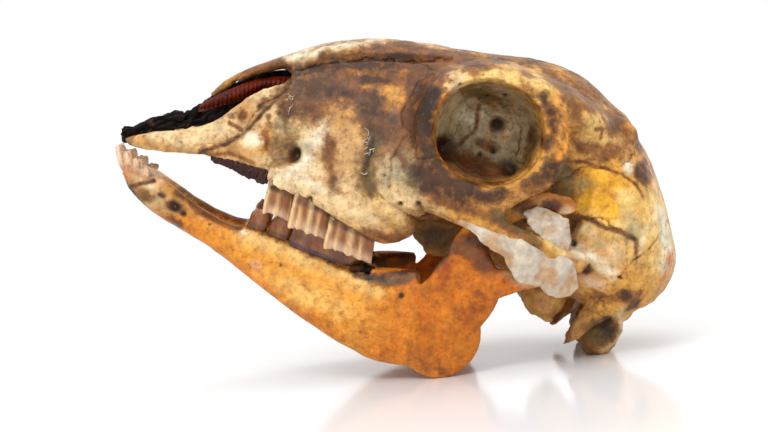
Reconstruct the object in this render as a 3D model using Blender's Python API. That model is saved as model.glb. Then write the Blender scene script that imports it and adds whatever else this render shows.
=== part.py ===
"""Skull of a young lamb with its lower jaw, resting on the jaw angles and the occipital condyles.

The skull is modelled level and in millimetres: u runs back from the front of the upper jaw, s runs out
from the middle plane and v runs up from the line between the front of the palate and the condyles. It is
then tipped nose up onto its four points of rest. The snout points along -X and the left side faces -Y.
"""
import math
import bmesh
import bpy
import numpy as np
from mathutils import Matrix, Vector

MM = 0.001
GAP = 0.3               # clearance kept in every suture and between touching pieces
CLAY_VOXEL = 0.9        # grain at which the raw forms of a bone are run together
JAW_FOOT = (110.0, -27.0)       # u, v of the jaw angle where it stands on the table
CONDYLE_FOOT = (148.3, -6.9)    # u, v of the occipital condyle where it stands on the table
SOLE = 0.25             # depth of the small flats that it rests on
CRANIUM_FACES = 5600
JAW_FACES = 850

# Profile lines of the cranium along its length, as (u, value)
ROOF = [(38, 42.6), (44, 47.2), (55, 53.2), (69, 57.6), (87, 61.8), (103, 65.8), (110, 66.6), (117, 66.0),
        (124, 63.4), (131, 60.4), (138, 55.6), (144, 50.6), (149, 45.0), (154, 38.6), (158, 33.0),
        (161, 28.0), (162.4, 22.5)]
BASE = [(38, 6.0), (50, 4.6), (64, 3.2), (75, 2.0), (82, 3.2), (88, 9.0), (95, 12.0), (110, 11.5),
        (125, 8.0), (140, 6.0), (150, 6.5), (156, 10.5), (160, 16.0), (162.4, 21.5)]
HALF_WIDTH = [(38, 14.6), (46, 17.6), (56, 21.4), (66, 25.0), (75, 28.0), (82, 29.0), (90, 26.0),
              (100, 22.5), (110, 23.5), (119, 27.0), (130, 29.6), (140, 29.8), (148, 27.8), (154, 24.0),
              (158, 19.0), (161, 11.5), (162.4, 3.0)]
WIDEST_LEVEL = [(38, 15), (56, 15), (70, 17), (82, 23), (95, 34), (110, 35), (125, 32), (140, 29),
                (155, 24), (162.4, 22)]
SQUARENESS = [(38, 2.7), (60, 2.2), (90, 2.2), (120, 2.3), (162, 2.0)]

# The eye socket: centre and half sizes of its rim, and how its walls close towards the middle plane
ORBIT_CENTRE = (95.0, 41.8)
ORBIT_HALF = (15.0, 13.9)
ORBIT_WALLS = [(13.0, 0.18), (14.2, 0.52), (18.0, 0.78), (25.0, 0.93), (33.0, 1.0), (38.0, 1.05), (60.0, 1.5)]

# Upper and lower cheek teeth: front edge, length, lobes and crown height of each
UPPER_TEETH = [(44.2, 7.6, 1, 7.6), (52.0, 10.6, 2, 8.2), (62.9, 14.4, 2, 7.6)]
LOWER_TEETH = [(42.4, 6.6, 1, 6.6), (49.4, 9.2, 2, 5.6), (59.2, 15.6, 3, 5.4)]
UPPER_ROW = [(44, 18.6), (58, 21.6), (78, 24.2)]        # s of the row at u
LOWER_ROW = [(42, 13.4), (58, 16.3), (78, 18.8)]
ALVEOLUS = [(43, 5.6), (56, 4.6), (66, 3.2), (79, 1.6)]         # v of the upper gum line
LOWER_ALVEOLUS = [(42, -8.4), (50, -7.0), (66, -7.0), (78, -6.6)]

# Incisors of one side, front to back: root (u, s, v), tip (u, s, v) and width
INCISORS = [((8.4, 2.5, -10.4), (0.1, 2.9, -2.5), 4.7), ((9.4, 4.3, -9.6), (2.9, 6.6, -3.0), 4.2),
            ((11.0, 5.4, -8.8), (6.6, 8.6, -3.6), 3.7), ((12.6, 6.0, -8.2), (10.4, 9.6, -4.8), 3.2)]

# Sutures, drawn from the side as the outline of each bone, and how deep towards the middle it reaches
PREMAXILLA = [(-8, -3), (23, 3), (22.6, 6.3), (25.8, 9.6), (30.2, 13.8), (32, 17), (33.4, 23.4),
              (39.6, 31.2), (37.8, 34.6), (31, 30.4), (24, 26.2), (12, 18), (-8, 9)]
NASAL = [(12, 12), (19.4, 16.8), (24, 23.2), (27, 27.4), (31, 31.2), (38.6, 35.9),
         (48, 43.0), (60, 48.6), (71, 52.6), (79, 56.2), (81.6, 75), (10, 50)]
FRONTAL = [(62, 75), (62, 49.4), (71.2, 52.3), (77.4, 52.4), (83.0, 50.6), (88, 46.5), (104, 46.5),
           (106.5, 37.2), (118.6, 35.6), (122.5, 42.8), (130, 44.4), (134.6, 49.0), (137.4, 57.0), (139, 75)]
LACRIMAL = [(71.0, 37.0), (75.8, 33.4), (79.6, 28.4), (87, 31.5), (88, 46.2), (82.6, 50.2), (77.0, 51.9),
            (72.0, 46.0)]
ZYGOMATIC = [(75.4, 33.0), (73.2, 25.0), (76.4, 16.0), (83.0, 12.6), (90, 11.4), (120.4, 11.0),
             (118.6, 24.5), (108, 25.5), (118.4, 35.2), (106.3, 36.8), (100, 30.6), (87.0, 31.0),
             (79.4, 28.0)]
MAXILLA = [(23.4, 2.6), (23.0, 6.2), (26.2, 9.3), (30.6, 13.5), (32.4, 16.8), (33.8, 23.2), (40.0, 30.9),
           (38.4, 36.4), (36, 60), (61.6, 60), (61.6, 49.6), (71.0, 52.6), (76.8, 52.6), (71.6, 46.2),
           (70.6, 36.8), (75.0, 33.2), (72.8, 25.0), (76.0, 15.7), (82.8, 12.2), (89.4, 11.0), (89.4, -8),
           (40, -8)]
TEMPORAL = [(120.8, 9), (119.0, 25.0), (127, 28.0), (134, 31.6), (141.4, 29.0), (145.0, 21.0),
            (143.0, 12.0), (138.6, 5.0), (134.8, -6), (119, -6)]
OCCIPITAL = [(145.4, 21.2), (149.5, 28.0), (152.0, 36.0), (160, 46), (175, 40), (170, -16), (131.5, -16),
             (135.2, -6), (139.0, 4.8), (143.4, 11.8)]
PARIETAL = [(118.8, 35.9), (122.8, 42.4), (130.2, 44.0), (135.0, 48.7), (137.8, 56.9), (139.6, 75),
            (175, 60), (159.6, 46.2), (151.6, 36.1), (149.1, 28.2), (145.1, 21.6), (141.7, 29.3),
            (134, 31.9), (126.8, 28.4), (118.9, 25.6)]
FULL_DEPTH = 60.0
NASAL_HALF_WIDTH = 11.5

# Forms run together into the cranium, as stations (u, s, v, half height, half thickness)
SOCKET_BLOCK = ((96.0, 25.0, 42.0), (22.2, 17.2, 20.0))     # centre and half sizes
BROW = [(78, 14, 50, 3, 8), (88, 20, 55.0, 4, 12.5), (102, 22, 57.4, 4.5, 14.5),
        (114, 20, 56, 5.5, 12.5), (126, 14, 53, 5, 9)]
CHEEK_ARCH = [(70, 24.5, 19, 7, 4), (80, 30, 20.5, 7.5, 4.5), (88, 34, 22, 7, 4), (97, 37, 20.8, 6, 3),
              (106, 38.6, 18.6, 3.9, 2.1), (114, 39.0, 18.8, 2.7, 1.9), (121, 38.4, 18.4, 2.5, 2.0),
              (127, 36.0, 17.6, 2.8, 2.2), (132, 30.0, 17.6, 3.6, 3.6)]
ARCH_ROOT = ((128.5, 28.5, 17.5), (7.0, 8.0, 3.6), -14)
TOOTH_RIDGE = [(43, 17.6, 8.6, 3.4, 2.4), (56, 21.2, 8.0, 4, 3.2), (68, 23.6, 7.4, 5.6, 3.8),
               (79, 24.2, 7.4, 6.2, 3.8), (86, 22.6, 10.6, 3.4, 3.0)]
# Side plate of the upper jaw's front, as (u, s, half thickness, lower v, upper v)
SNOUT_PLATE = [(0.8, 5.0, 1.8, -0.9, 1.0), (4.0, 7.4, 2.5, -1.1, 2.8), (8.0, 9.8, 2.5, -0.4, 5.7),
               (12.0, 11.2, 2.3, 1.0, 7.8), (16.0, 12.0, 2.1, 2.2, 9.9), (20.0, 12.5, 1.9, 3.4, 12.6),
               (24.0, 13.0, 1.7, 4.5, 16.2), (26.0, 13.2, 1.7, 4.6, 19.4), (28.0, 13.2, 1.7, 4.7, 23.0),
               (30.0, 13.2, 1.7, 4.8, 26.6), (33.0, 13.2, 1.7, 5.2, 30.0), (37.0, 13.2, 2.0, 5.6, 32.4),
               (41.0, 13.0, 2.0, 6.0, 34.0), (44.0, 12.6, 2.0, 8.0, 31.0)]
PALATE_BAR = [(5, 2.2, 3.2, 0.9, 1.1), (18, 2.4, 4.6, 1.1, 1.4), (30, 3.0, 6.4, 1.4, 2.4),
              (40, 5, 8.4, 2.0, 5)]
PALATE_SHELF = [(28, 8.5, 7.6, 1.2, 4.0), (34, 8.0, 8.2, 1.6, 7.0), (42, 8.0, 8.6, 2.2, 8.0)]
NASAL_BAR = [(18.9, 2.6, 20.0, 0.9, 1.2), (21.4, 3.2, 24.2, 1.3, 1.9), (24.6, 4.0, 28.2, 1.5, 2.8),
             (28.4, 4.6, 32.0, 1.6, 3.7), (34, 5.2, 36.8, 1.8, 4.6), (44, 6.2, 43.6, 2.4, 6.0),
             (54, 6.6, 48.2, 2.8, 6.6)]
POLL_KNOBS = [((131.8, 13.0, 55.6), (5.4, 6.2, 3.6), 30), ((130.0, 6.0, 57.2), (6.0, 9.0, 3.4), 30)]
WING_PLATE = [(88.0, 9.6, 8.0, 5.0, 1.6), (93, 9.4, 6.8, 5.4, 1.3), (99, 9.0, 8.8, 5.6, 1.2),
              (106, 8.6, 12.0, 4.6, 1.4)]
BASE_ROD = ((124.0, 0.0, 9.5), (26.0, 8.0, 4.4))
EAR_CAPSULE = ((128.5, 15.4, 4.6), (6.4, 5.4, 6.6), 20)
EAR_SPUR = [(121.5, 14.5, 3.4, 1.4, 1.4), (126.5, 15.2, 1.6, 2.8, 2.4), (131.5, 15.6, -0.6, 2.4, 1.8),
            (134.0, 15.8, -1.8, 0.9, 0.9)]
JUGULAR_PROCESS = [(147, 23.0, 16.0, 6.0, 3.6), (143.8, 22.6, 8.6, 4.4, 2.6), (141.0, 21.6, 2.0, 3.0, 1.9),
                   (139.0, 21.0, -3.6, 1.9, 1.4), (138.2, 20.8, -6.8, 0.9, 0.8)]
CONDYLES = [((147.4, 12.2, 1.6), (6.3, 6.6, 8.6), -4), ((147.6, 12.6, 10.0), (7.0, 6.6, 6.0), 0)]

# Hollows cut into the cranium, as rings (level, ends along the first axis, ends along the second)
TEMPORAL_SPACE = [(-14, 90, 123, 15, 46), (4, 92, 122.5, 16, 40), (10, 94, 122.5, 17, 37.5),
                  (15, 97, 123.5, 19, 36.6), (22, 100, 128.5, 22, 36.2), (30, 104, 129.5, 25, 35.0),
                  (38, 107.5, 128, 26.5, 35.0), (46, 110.0, 124, 28.0, 34.6), (50, 113.5, 121, 29.4, 33.6)]
JOINT_HOLLOW = [(-12, 117, 131.5, 24.5, 48), (6, 117, 131.5, 24.5, 48), (11, 118.5, 130, 25.5, 46),
                (13.8, 120, 128.5, 26.5, 44)]
REAR_NOSTRILS = [(80, -4, 4, 8, 12), (86, -6.8, 6.8, 1, 14.5), (97, -7.0, 7.0, -2, 14),
                 (108, -6.5, 6.5, -2, 11.5)]
PALATE_VAULT = [(36, -9, 9, -4, 6.6), (48, -12, 12, -5, 7.4), (64, -15, 15, -6, 7.4),
                (80, -16.5, 16.5, -6, 6.6), (92, -15, 15, -6, 4.5)]
NASAL_CAVITY = [(24, -9.5, 9.5, 12.5, 27.5), (34, -9.8, 9.8, 12.0, 34.8), (46, -10.5, 10.5, 13, 41.0),
                (58, -9.5, 9.5, 16, 43.5), (66, -5, 5, 22, 38)]
FORAMEN_MAGNUM = [(134, -3.5, 3.5, 12, 16), (139, -6.0, 6.0, 9.5, 19), (147, -7.0, 7.0, 6.0, 19.6),
                  (152, -7.4, 7.4, -2.0, 19.6), (158, -7.8, 7.8, -4.0, 19.4), (172, -8.4, 8.4, -6, 19)]

# Forms run together into the left half of the lower jaw
JAW_BODY = [(4.5, 3.4, -7.6, 1.9, 2.4), (9, 4.6, -9.2, 4.0, 3.4), (15, 5.9, -10.9, 4.8, 3.9),
            (22, 7.6, -12.7, 4.6, 3.4), (31, 10.0, -14.1, 4.1, 3.1), (40, 12.4, -15.0, 4.9, 3.4),
            (50, 14.9, -15.2, 7.4, 4.0), (62, 17.4, -16.7, 9.0, 4.3), (75, 19.8, -18.2, 10.4, 4.3),
            (86, 22.6, -17.0, 13.2, 4.0), (96, 25.2, -14.6, 13.8, 3.2)]
JAW_ANGLE = ((103.6, 27.0, -15.6), (12.4, 2.9, 12.4))
JAW_ANGLE_LUMP = ((106.6, 27.2, -22.9), (7.0, 3.0, 4.9), -20)
RAMUS = [(99, 26.4, -15, 9, 2.8), (104.8, 28.2, -5, 10.4, 2.3), (105.6, 29.6, 2, 9.9, 1.9),
         (106.4, 30.4, 7, 8.4, 1.8), (109, 31.0, 10, 6.2, 1.6)]
JAW_NECK = [(106, 29.4, -4, 5, 2.0), (112, 31.2, 3, 4.6, 2.0), (118.5, 32.4, 7.0, 3.0, 2.4),
            (123.6, 32.6, 9.6, 2.0, 4.0)]
JAW_HEAD = ((124.4, 32.8, 10.8), (2.9, 5.8, 2.4))
CORONOID = [(102.6, 30.0, 4, 6.0, 1.7), (102.8, 31.0, 12, 5.2, 1.6), (105.0, 31.6, 19.2, 4.2, 1.4),
            (110.4, 32.2, 25.2, 3.5, 1.2), (116.9, 32.6, 29.3, 3.5, 1.2), (122.5, 32.6, 31.2, 2.8, 1.1),
            (125.4, 32.5, 31.7, 1.4, 0.9)]
JAW_WIDTH_OF_TEETH = 4.6
UPPER_WIDTH_OF_TEETH = 4.8
ROOT_DEPTH = 3.4        # how far the cheek teeth are sunk in the bone

# Dried tissue: gristle that divides the nose, given as the snout plate is, then as stations a scroll in each
# side of the nose, the joint capsules and the palate linings
SEPTUM = [(-0.6, 0, 0.9, 0.4, 2.8), (0.6, 0, 1.1, -1.2, 4.0), (3.4, 0, 0.9, 0.8, 5.4),
          (6.0, 0, 0.8, 4.4, 8.2), (8.8, 0, 0.8, 5.6, 10.6), (11.4, 0, 0.8, 6.8, 12.9),
          (13.2, 0, 0.75, 7.6, 13.8), (14.6, 0, 0.75, 8.2, 13.2), (16.0, 0, 0.7, 9.0, 15.6), (18.5, 0, 0.7, 10.4, 19.4),
          (22, 0, 0.7, 12.0, 23.6), (26, 0, 0.7, 13.4, 27.0), (34, 0, 0.7, 15.0, 32.0),
          (44, 0, 0.7, 16.0, 37.6), (56, 0, 0.7, 20.0, 40.0)]
TURBINATE = [(21.5, 5.4, 19.5, 1.4, 1.1), (29, 6.8, 24.4, 3.2, 1.7), (39, 7.4, 29.0, 4.6, 2.0),
             (53, 6.6, 32.0, 4.2, 1.8)]
JOINT_TISSUE = [(98.5, 38.8, 12.6, 0.9, 0.6), (105, 39.6, 12.0, 1.9, 0.65), (112, 40.2, 12.0, 3.0, 0.7),
                (119, 40.6, 10.8, 4.2, 0.7), (126, 39.8, 8.8, 4.6, 0.7), (131.6, 37.6, 6.4, 2.4, 0.6)]
PALATE_STRIP = [(24.6, 11.2, 4.3, 0.6, 1.3), (32, 11.6, 4.2, 0.9, 1.7), (40, 13.2, 4.0, 0.8, 1.5)]
TISSUE_VOXEL = 0.5
TISSUE_SIDES = 12

bone_colours = {
    "premaxilla": (0.46, 0.36, 0.22), "nasal": (0.42, 0.33, 0.20), "maxilla": (0.44, 0.35, 0.22),
    "lacrimal": (0.16, 0.10, 0.06), "zygomatic": (0.30, 0.19, 0.09), "frontal": (0.25, 0.15, 0.07),
    "parietal": (0.55, 0.40, 0.17), "temporal": (0.58, 0.40, 0.13), "occipital": (0.44, 0.31, 0.14),
    "sphenoid": (0.22, 0.19, 0.15), "mandible": (0.60, 0.32, 0.07), "septum": (0.02, 0.012, 0.01),
    "turbinate": (0.30, 0.07, 0.02), "joint": (0.72, 0.72, 0.72), "palate": (0.10, 0.03, 0.02)}


def along(line, u):
    """Value at u of the smooth curve through a profile line's points."""
    us = [p[0] for p in line]
    vs = [p[1] for p in line]
    slope = np.gradient(vs, us)
    i = int(np.clip(np.searchsorted(us, u) - 1, 0, len(us) - 2))
    step = us[i + 1] - us[i]
    t = min(max((u - us[i]) / step, 0.0), 1.0)
    return ((2 * t**3 - 3 * t**2 + 1) * vs[i] + (t**3 - 2 * t**2 + t) * step * slope[i]
            + (3 * t**2 - 2 * t**3) * vs[i + 1] + (t**3 - t**2) * step * slope[i + 1])


def power(value, exponent):
    return math.copysign(abs(value) ** exponent, value)


def add_loft(clay, rings):
    """Closed skin over rings of (u, s, v) points that all have the same count."""
    loops = [[clay.verts.new(Vector((p[0], -p[1], p[2])) * MM) for p in ring] for ring in rings]
    faces = [clay.faces.new(loops[0][::-1]), clay.faces.new(loops[-1])]
    for low, high in zip(loops, loops[1:]):
        for k in range(len(low)):
            j = (k + 1) % len(low)
            faces.append(clay.faces.new((low[k], low[j], high[j], high[k])))
    bmesh.ops.recalc_face_normals(clay, faces=faces)


def add_sweep(clay, stations, sides=16, steps=4, square=2.0):
    """Bone drawn along stations of (u, s, v, half height, half thickness)."""
    knots = np.array(stations, float)
    places = np.arange(len(knots))
    fine = np.linspace(0, len(knots) - 1, (len(knots) - 1) * steps + 1)
    lines = [[(p, row[k]) for p, row in zip(places, knots)] for k in range(5)]
    values = np.array([[along(line, t) for line in lines] for t in fine])
    tangents = np.gradient(values[:, :3], axis=0)
    rings = []
    for row, tangent in zip(values, tangents):
        forward = Vector(tangent).normalized()
        out = (Vector((0, 1, 0)) - forward * forward.y).normalized()
        up = out.cross(forward)
        centre = Vector(row[:3])
        ring = []
        for k in range(sides):
            a = 2 * math.pi * k / sides
            side = out * power(math.sin(a), 2 / square) * max(row[4], 0.2)
            rise = up * power(math.cos(a), 2 / square) * max(row[3], 0.2)
            ring.append(centre + side + rise)
        rings.append(ring)
    add_loft(clay, rings)


def add_plate(clay, stations, sides=20):
    """Upright plate along stations of (u, s, half thickness, lower v, upper v)."""
    rows = np.array(stations, float)
    fine = np.arange(rows[0, 0], rows[-1, 0] + 0.01, 1.0)
    rings = []
    for u in fine:
        s, half, low, high = (np.interp(u, rows[:, 0], rows[:, k]) for k in range(1, 5))
        middle, rise = (low + high) / 2, (high - low) / 2
        angles = [2 * math.pi * k / sides for k in range(sides)]
        rings.append([(u, s + half * power(math.sin(a), 0.8), middle + rise * math.cos(a)) for a in angles])
    add_loft(clay, rings)


def add_blob(clay, centre, half, lean=0):
    """Rounded lump with its three half sizes, leaning back by an angle in the side view."""
    made = bmesh.ops.create_uvsphere(clay, u_segments=24, v_segments=16, radius=1.0)
    turn = Matrix.Rotation(math.radians(lean), 4, 'Y')
    place = Matrix.Translation(Vector((centre[0], -centre[1], centre[2])) * MM)
    shape = place @ turn @ Matrix.Diagonal((*(Vector(half) * MM), 1.0))
    bmesh.ops.transform(clay, matrix=shape, verts=made["verts"])


def both_sides(add, clay, *args, **kwargs):
    """Adds a form on the left and its mirror image on the right."""
    add(clay, *args, **kwargs)
    mark = len(clay.verts)
    add(clay, *args, **kwargs)
    clay.verts.ensure_lookup_table()
    twin = clay.verts[mark:]
    for vert in twin:
        vert.co.y = -vert.co.y
    bmesh.ops.reverse_faces(clay, faces=list({face for vert in twin for face in vert.link_faces}))


def made_object(clay, name):
    mesh = bpy.data.meshes.new(name)
    clay.to_mesh(mesh)
    clay.free()
    thing = bpy.data.objects.new(name, mesh)
    bpy.context.scene.collection.objects.link(thing)
    return thing


def apply_modifiers(thing):
    bpy.context.view_layer.update()
    graph = bpy.context.evaluated_depsgraph_get()
    mesh = bpy.data.meshes.new_from_object(thing.evaluated_get(graph))
    thing.modifiers.clear()
    old = thing.data
    thing.data = mesh
    bpy.data.meshes.remove(old)


def run_together(thing, voxel=CLAY_VOXEL, smoothing=3, faces=None):
    """One even skin over overlapping forms, smoothed and then thinned to a number of faces."""
    remesh = thing.modifiers.new("run together", 'REMESH')
    remesh.mode = 'VOXEL'
    remesh.voxel_size = voxel * MM
    soft = thing.modifiers.new("soften", 'SMOOTH')
    soft.factor = 0.5
    soft.iterations = smoothing
    apply_modifiers(thing)
    if faces:
        thin_out(thing, faces)


def thin_out(thing, faces):
    triangles = sum(len(polygon.vertices) - 2 for polygon in thing.data.polygons)
    decimate = thing.modifiers.new("thin out", 'DECIMATE')
    decimate.ratio = min(1.0, faces / triangles)
    decimate.use_collapse_triangulate = True
    apply_modifiers(thing)


def boolean(thing, others, operation, solver='MANIFOLD'):
    """Cuts, joins or keeps the overlap with other closed objects, which are then removed."""
    tools = bpy.data.collections.new("tools")
    for other in others:
        for owner in other.users_collection:
            owner.objects.unlink(other)
        tools.objects.link(other)
        other.hide_render = True
        other.display_type = 'WIRE'
    bpy.context.scene.collection.children.link(tools)
    modifier = thing.modifiers.new(operation, 'BOOLEAN')
    modifier.operation = operation
    modifier.solver = solver
    if operation == 'INTERSECT':
        modifier.object = others[0]
    else:
        modifier.operand_type = 'COLLECTION'
        modifier.collection = tools
    apply_modifiers(thing)
    for other in others:
        bpy.data.objects.remove(other)
    bpy.data.collections.remove(tools)


def keep_largest(thing):
    """Drops loose scraps and sealed hollows, so that one closed surface is left."""
    clay = bmesh.new()
    clay.from_mesh(thing.data)
    left = set(clay.verts)
    groups = []
    while left:
        group = {left.pop()}
        edge = list(group)
        while edge:
            near = {e.other_vert(vert) for vert in edge for e in vert.link_edges} - group
            group |= near
            edge = list(near)
        left -= group
        groups.append(group)

    def reach(group):
        points = np.array([vert.co for vert in group])
        return float(np.prod(points.max(0) - points.min(0) + 1e-5))

    biggest = max(groups, key=reach)
    bmesh.ops.delete(clay, geom=[vert for vert in clay.verts if vert not in biggest], context='VERTS')
    bmesh.ops.triangulate(clay, faces=clay.faces)
    clay.to_mesh(thing.data)
    clay.free()


def mirrored(thing, name):
    """The right-hand bone of a pair."""
    mesh = thing.data.copy()
    mesh.name = name
    for vert in mesh.vertices:
        vert.co.y = -vert.co.y
    mesh.flip_normals()
    twin = bpy.data.objects.new(name, mesh)
    bpy.context.scene.collection.objects.link(twin)
    return twin


def skull_section(u, count=48):
    top, base = along(ROOF, u), along(BASE, u)
    wide, level, square = along(HALF_WIDTH, u), along(WIDEST_LEVEL, u), along(SQUARENESS, u)
    ring = []
    for k in range(count):
        a = 2 * math.pi * k / count
        upper = math.cos(a) > 0
        n = square if upper else 3.0
        rise = top - level if upper else level - base
        ring.append((u, wide * power(math.sin(a), 2 / n), level + rise * power(math.cos(a), 2 / n)))
    return ring


def add_socket_rim(clay):
    """Raised ring of bone right round the eye, thickest at the back where it forms the bar."""
    count = 28
    loops = []
    for k in range(count):
        a = 2 * math.pi * k / count
        back, up = math.cos(a), math.sin(a)
        thick = 2.7 + 1.4 * max(back, 0) + 0.6 * max(-up, 0) - 0.5 * max(up, 0)
        centre = Vector((ORBIT_CENTRE[0] + (ORBIT_HALF[0] + thick + 0.4) * back,
                         -(35.2 + 2.8 * back - 2.0 * up),
                         ORBIT_CENTRE[1] + (ORBIT_HALF[1] + thick + 0.1) * up))
        spoke = Vector((back, 0, up))
        loops.append([clay.verts.new((centre + spoke * thick * math.cos(b)
                                      + Vector((0, 1, 0)) * (2.5 + 0.5 * back) * math.sin(b)) * MM)
                      for b in (2 * math.pi * j / 10 for j in range(10))])
    faces = []
    for here, after in zip(loops, loops[1:] + loops[:1]):
        for j in range(10):
            i = (j + 1) % 10
            faces.append(clay.faces.new((here[j], here[i], after[i], after[j])))
    bmesh.ops.recalc_face_normals(clay, faces=faces)


def add_cranium_forms(clay):
    """Face, forehead and braincase as one long loft, with the lumps and bars that stand out from it."""
    run = np.concatenate([np.linspace(38, 150, 38), 162.4 - 12.4 * np.cos(np.linspace(0.15, math.pi / 2, 9))])
    add_loft(clay, [skull_section(u) for u in run])
    # The raised ring round the eye is cut from this block, under a brow that carries the forehead over it
    both_sides(add_blob, clay, *SOCKET_BLOCK)
    both_sides(add_sweep, clay, BROW)
    both_sides(add_socket_rim, clay)
    # Cheek bone and arch, and the arch's root over the jaw joint
    both_sides(add_sweep, clay, CHEEK_ARCH)
    both_sides(add_blob, clay, *ARCH_ROOT)
    both_sides(add_sweep, clay, TOOTH_RIDGE)
    both_sides(add_plate, clay, SNOUT_PLATE)
    both_sides(add_sweep, clay, PALATE_BAR)
    both_sides(add_sweep, clay, PALATE_SHELF)
    both_sides(add_sweep, clay, NASAL_BAR)
    for knob in POLL_KNOBS:
        both_sides(add_blob, clay, *knob)
    # Underside: wing plates beside the rear nostrils, rod of the skull base, ear capsule and its spur
    both_sides(add_sweep, clay, WING_PLATE)
    add_blob(clay, *BASE_ROD)
    both_sides(add_blob, clay, *EAR_CAPSULE)
    both_sides(add_sweep, clay, EAR_SPUR)
    # Bone behind the ear, and the occipital condyles with the bone that carries them
    both_sides(add_sweep, clay, JUGULAR_PROCESS)
    for condyle in CONDYLES:
        both_sides(add_blob, clay, *condyle)


def socket_cutter(name):
    """Hollow of one eye socket, widening from its inner wall out past the rim."""
    clay = bmesh.new()
    rings = []
    for out, share in ORBIT_WALLS:
        inward = max(0.0, (33.0 - out) / 20.0)
        forward = max(0.0, (out - 33.0) / 20.0)
        cu = ORBIT_CENTRE[0] + 2.4 * inward - 3.0 * forward
        cv = ORBIT_CENTRE[1] - 1.6 * inward + 1.0 * forward
        ring = []
        for k in range(32):
            a = 2 * math.pi * k / 32
            ring.append((cu + ORBIT_HALF[0] * share * power(math.cos(a), 0.92), out,
                         cv + ORBIT_HALF[1] * share * power(math.sin(a), 0.92)))
        rings.append(ring)
    add_loft(clay, rings)
    return made_object(clay, name)


def box_loft_cutter(name, levels, upright=True):
    """Hollow with rounded corners, given at each level by its ends along u and along s."""
    clay = bmesh.new()
    rings = []
    for level, a0, a1, b0, b1 in levels:
        ring = []
        for k in range(28):
            a = 2 * math.pi * k / 28
            first = (a0 + a1) / 2 + (a1 - a0) / 2 * power(math.cos(a), 0.6)
            second = (b0 + b1) / 2 + (b1 - b0) / 2 * power(math.sin(a), 0.6)
            ring.append((first, second, level) if upright else (level, first, second))
        rings.append(ring)
    add_loft(clay, rings)
    return made_object(clay, name)


def cranium_cutters():
    socket = socket_cutter("socket")
    # The jaw's coronoid process passes up through the space behind the eye and inside the arch
    space = box_loft_cutter("temporal space", TEMPORAL_SPACE)
    joint = box_loft_cutter("joint hollow", JOINT_HOLLOW)
    throat = box_loft_cutter("rear nostrils", REAR_NOSTRILS, upright=False)
    palate = box_loft_cutter("palate vault", PALATE_VAULT, upright=False)
    nose = box_loft_cutter("nasal cavity", NASAL_CAVITY, upright=False)
    marrow = box_loft_cutter("foramen magnum", FORAMEN_MAGNUM, upright=False)
    fossae = [space, joint, socket]
    twins = [mirrored(cutter, cutter.name + " right") for cutter in fossae]
    return fossae + twins + [throat, palate, nose, marrow]


def build_cranium():
    clay = bmesh.new()
    add_cranium_forms(clay)
    cranium = made_object(clay, "cranium")
    run_together(cranium, smoothing=2, faces=26000)
    boolean(cranium, cranium_cutters(), 'DIFFERENCE', 'EXACT')
    keep_largest(cranium)
    run_together(cranium, smoothing=3, faces=CRANIUM_FACES)
    keep_largest(cranium)
    return cranium


def grown(outline, margin):
    """Outline moved outwards by a margin all round."""
    points = [Vector(p) for p in outline]
    area = sum(a.x * b.y - b.x * a.y for a, b in zip(points, points[1:] + points[:1]))
    hand = 1 if area > 0 else -1
    moved = []
    for k, here in enumerate(points):
        before = (here - points[k - 1]).normalized()
        after = (points[(k + 1) % len(points)] - here).normalized()
        first = Vector((before.y, -before.x)) * hand
        second = Vector((after.y, -after.x)) * hand
        corner = (first + second) / max(1 + first.dot(second), 0.35)
        moved.append(here + corner * margin)
    return moved


def region(outline, inner, outer, name):
    """Block under a bone's side outline, between two distances from the middle plane."""
    clay = bmesh.new()
    add_loft(clay, [[(p[0], s, p[1]) for p in outline] for s in (inner, outer)])
    return made_object(clay, name)


def bone_from(cranium, name, outline, inner=GAP / 2, outer=FULL_DEPTH):
    """Left-hand bone of a pair, cut from the whole, and its twin."""
    bone = bpy.data.objects.new(name + "_left", cranium.data.copy())
    bpy.context.scene.collection.objects.link(bone)
    boolean(bone, [region(outline, inner, outer, "bone region")], 'INTERSECT')
    keep_largest(bone)
    left_cut = region(grown(outline, GAP), inner - (GAP if inner > GAP else inner + 1.0), outer + 5, "cut")
    boolean(cranium, [left_cut, mirrored(left_cut, "cut right")], 'DIFFERENCE')
    return [bone, mirrored(bone, name + "_right")]


def middle_bone_from(cranium, name, outline):
    """Unpaired bone that crosses the middle plane."""
    bone = bpy.data.objects.new(name, cranium.data.copy())
    bpy.context.scene.collection.objects.link(bone)
    boolean(bone, [region(outline, -FULL_DEPTH, FULL_DEPTH, "bone region")], 'INTERSECT')
    keep_largest(bone)
    boolean(cranium, [region(grown(outline, GAP), -FULL_DEPTH, FULL_DEPTH, "cut")], 'DIFFERENCE')
    return bone


def add_lobe(clay, u, s, root_v, tip_v, length, width, lean):
    """One pillar of a cheek tooth: a rounded column that narrows to a slanting, ridged crown."""
    rings = []
    for share, grow in ((0.0, 0.86), (0.45, 1.0), (0.82, 0.96), (1.0, 0.66)):
        v = root_v + (tip_v - root_v) * share
        ring = []
        for k in range(8):
            a = 2 * math.pi * k / 8
            across = power(math.cos(a), 0.8) * length / 2 * grow
            out = power(math.sin(a), 0.8) * width / 2 * grow
            peak = (tip_v - root_v) * 0.16 * abs(math.cos(a)) * (share > 0.9)
            ring.append((u + across + lean * share, s + out, v - peak))
        rings.append(ring)
    add_loft(clay, rings)


def cheek_teeth(teeth, row, gum, upward, width):
    """Closed lobes of one tooth row, each its own object, with their roots sunk in the bone."""
    lobes = []
    for front, length, count, crown in teeth:
        step = length / count
        for k in range(count):
            u = front + step * (k + 0.5)
            s, base = along(row, u), along(gum, u)
            sign = 1 if upward else -1
            clay = bmesh.new()
            tip = base + sign * crown * (0.96 + 0.05 * (k % 2))
            add_lobe(clay, u, s, base - sign * ROOT_DEPTH, tip, step + 0.5, width, 0.5)
            lobes.append(made_object(clay, "lobe"))
    return lobes


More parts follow.
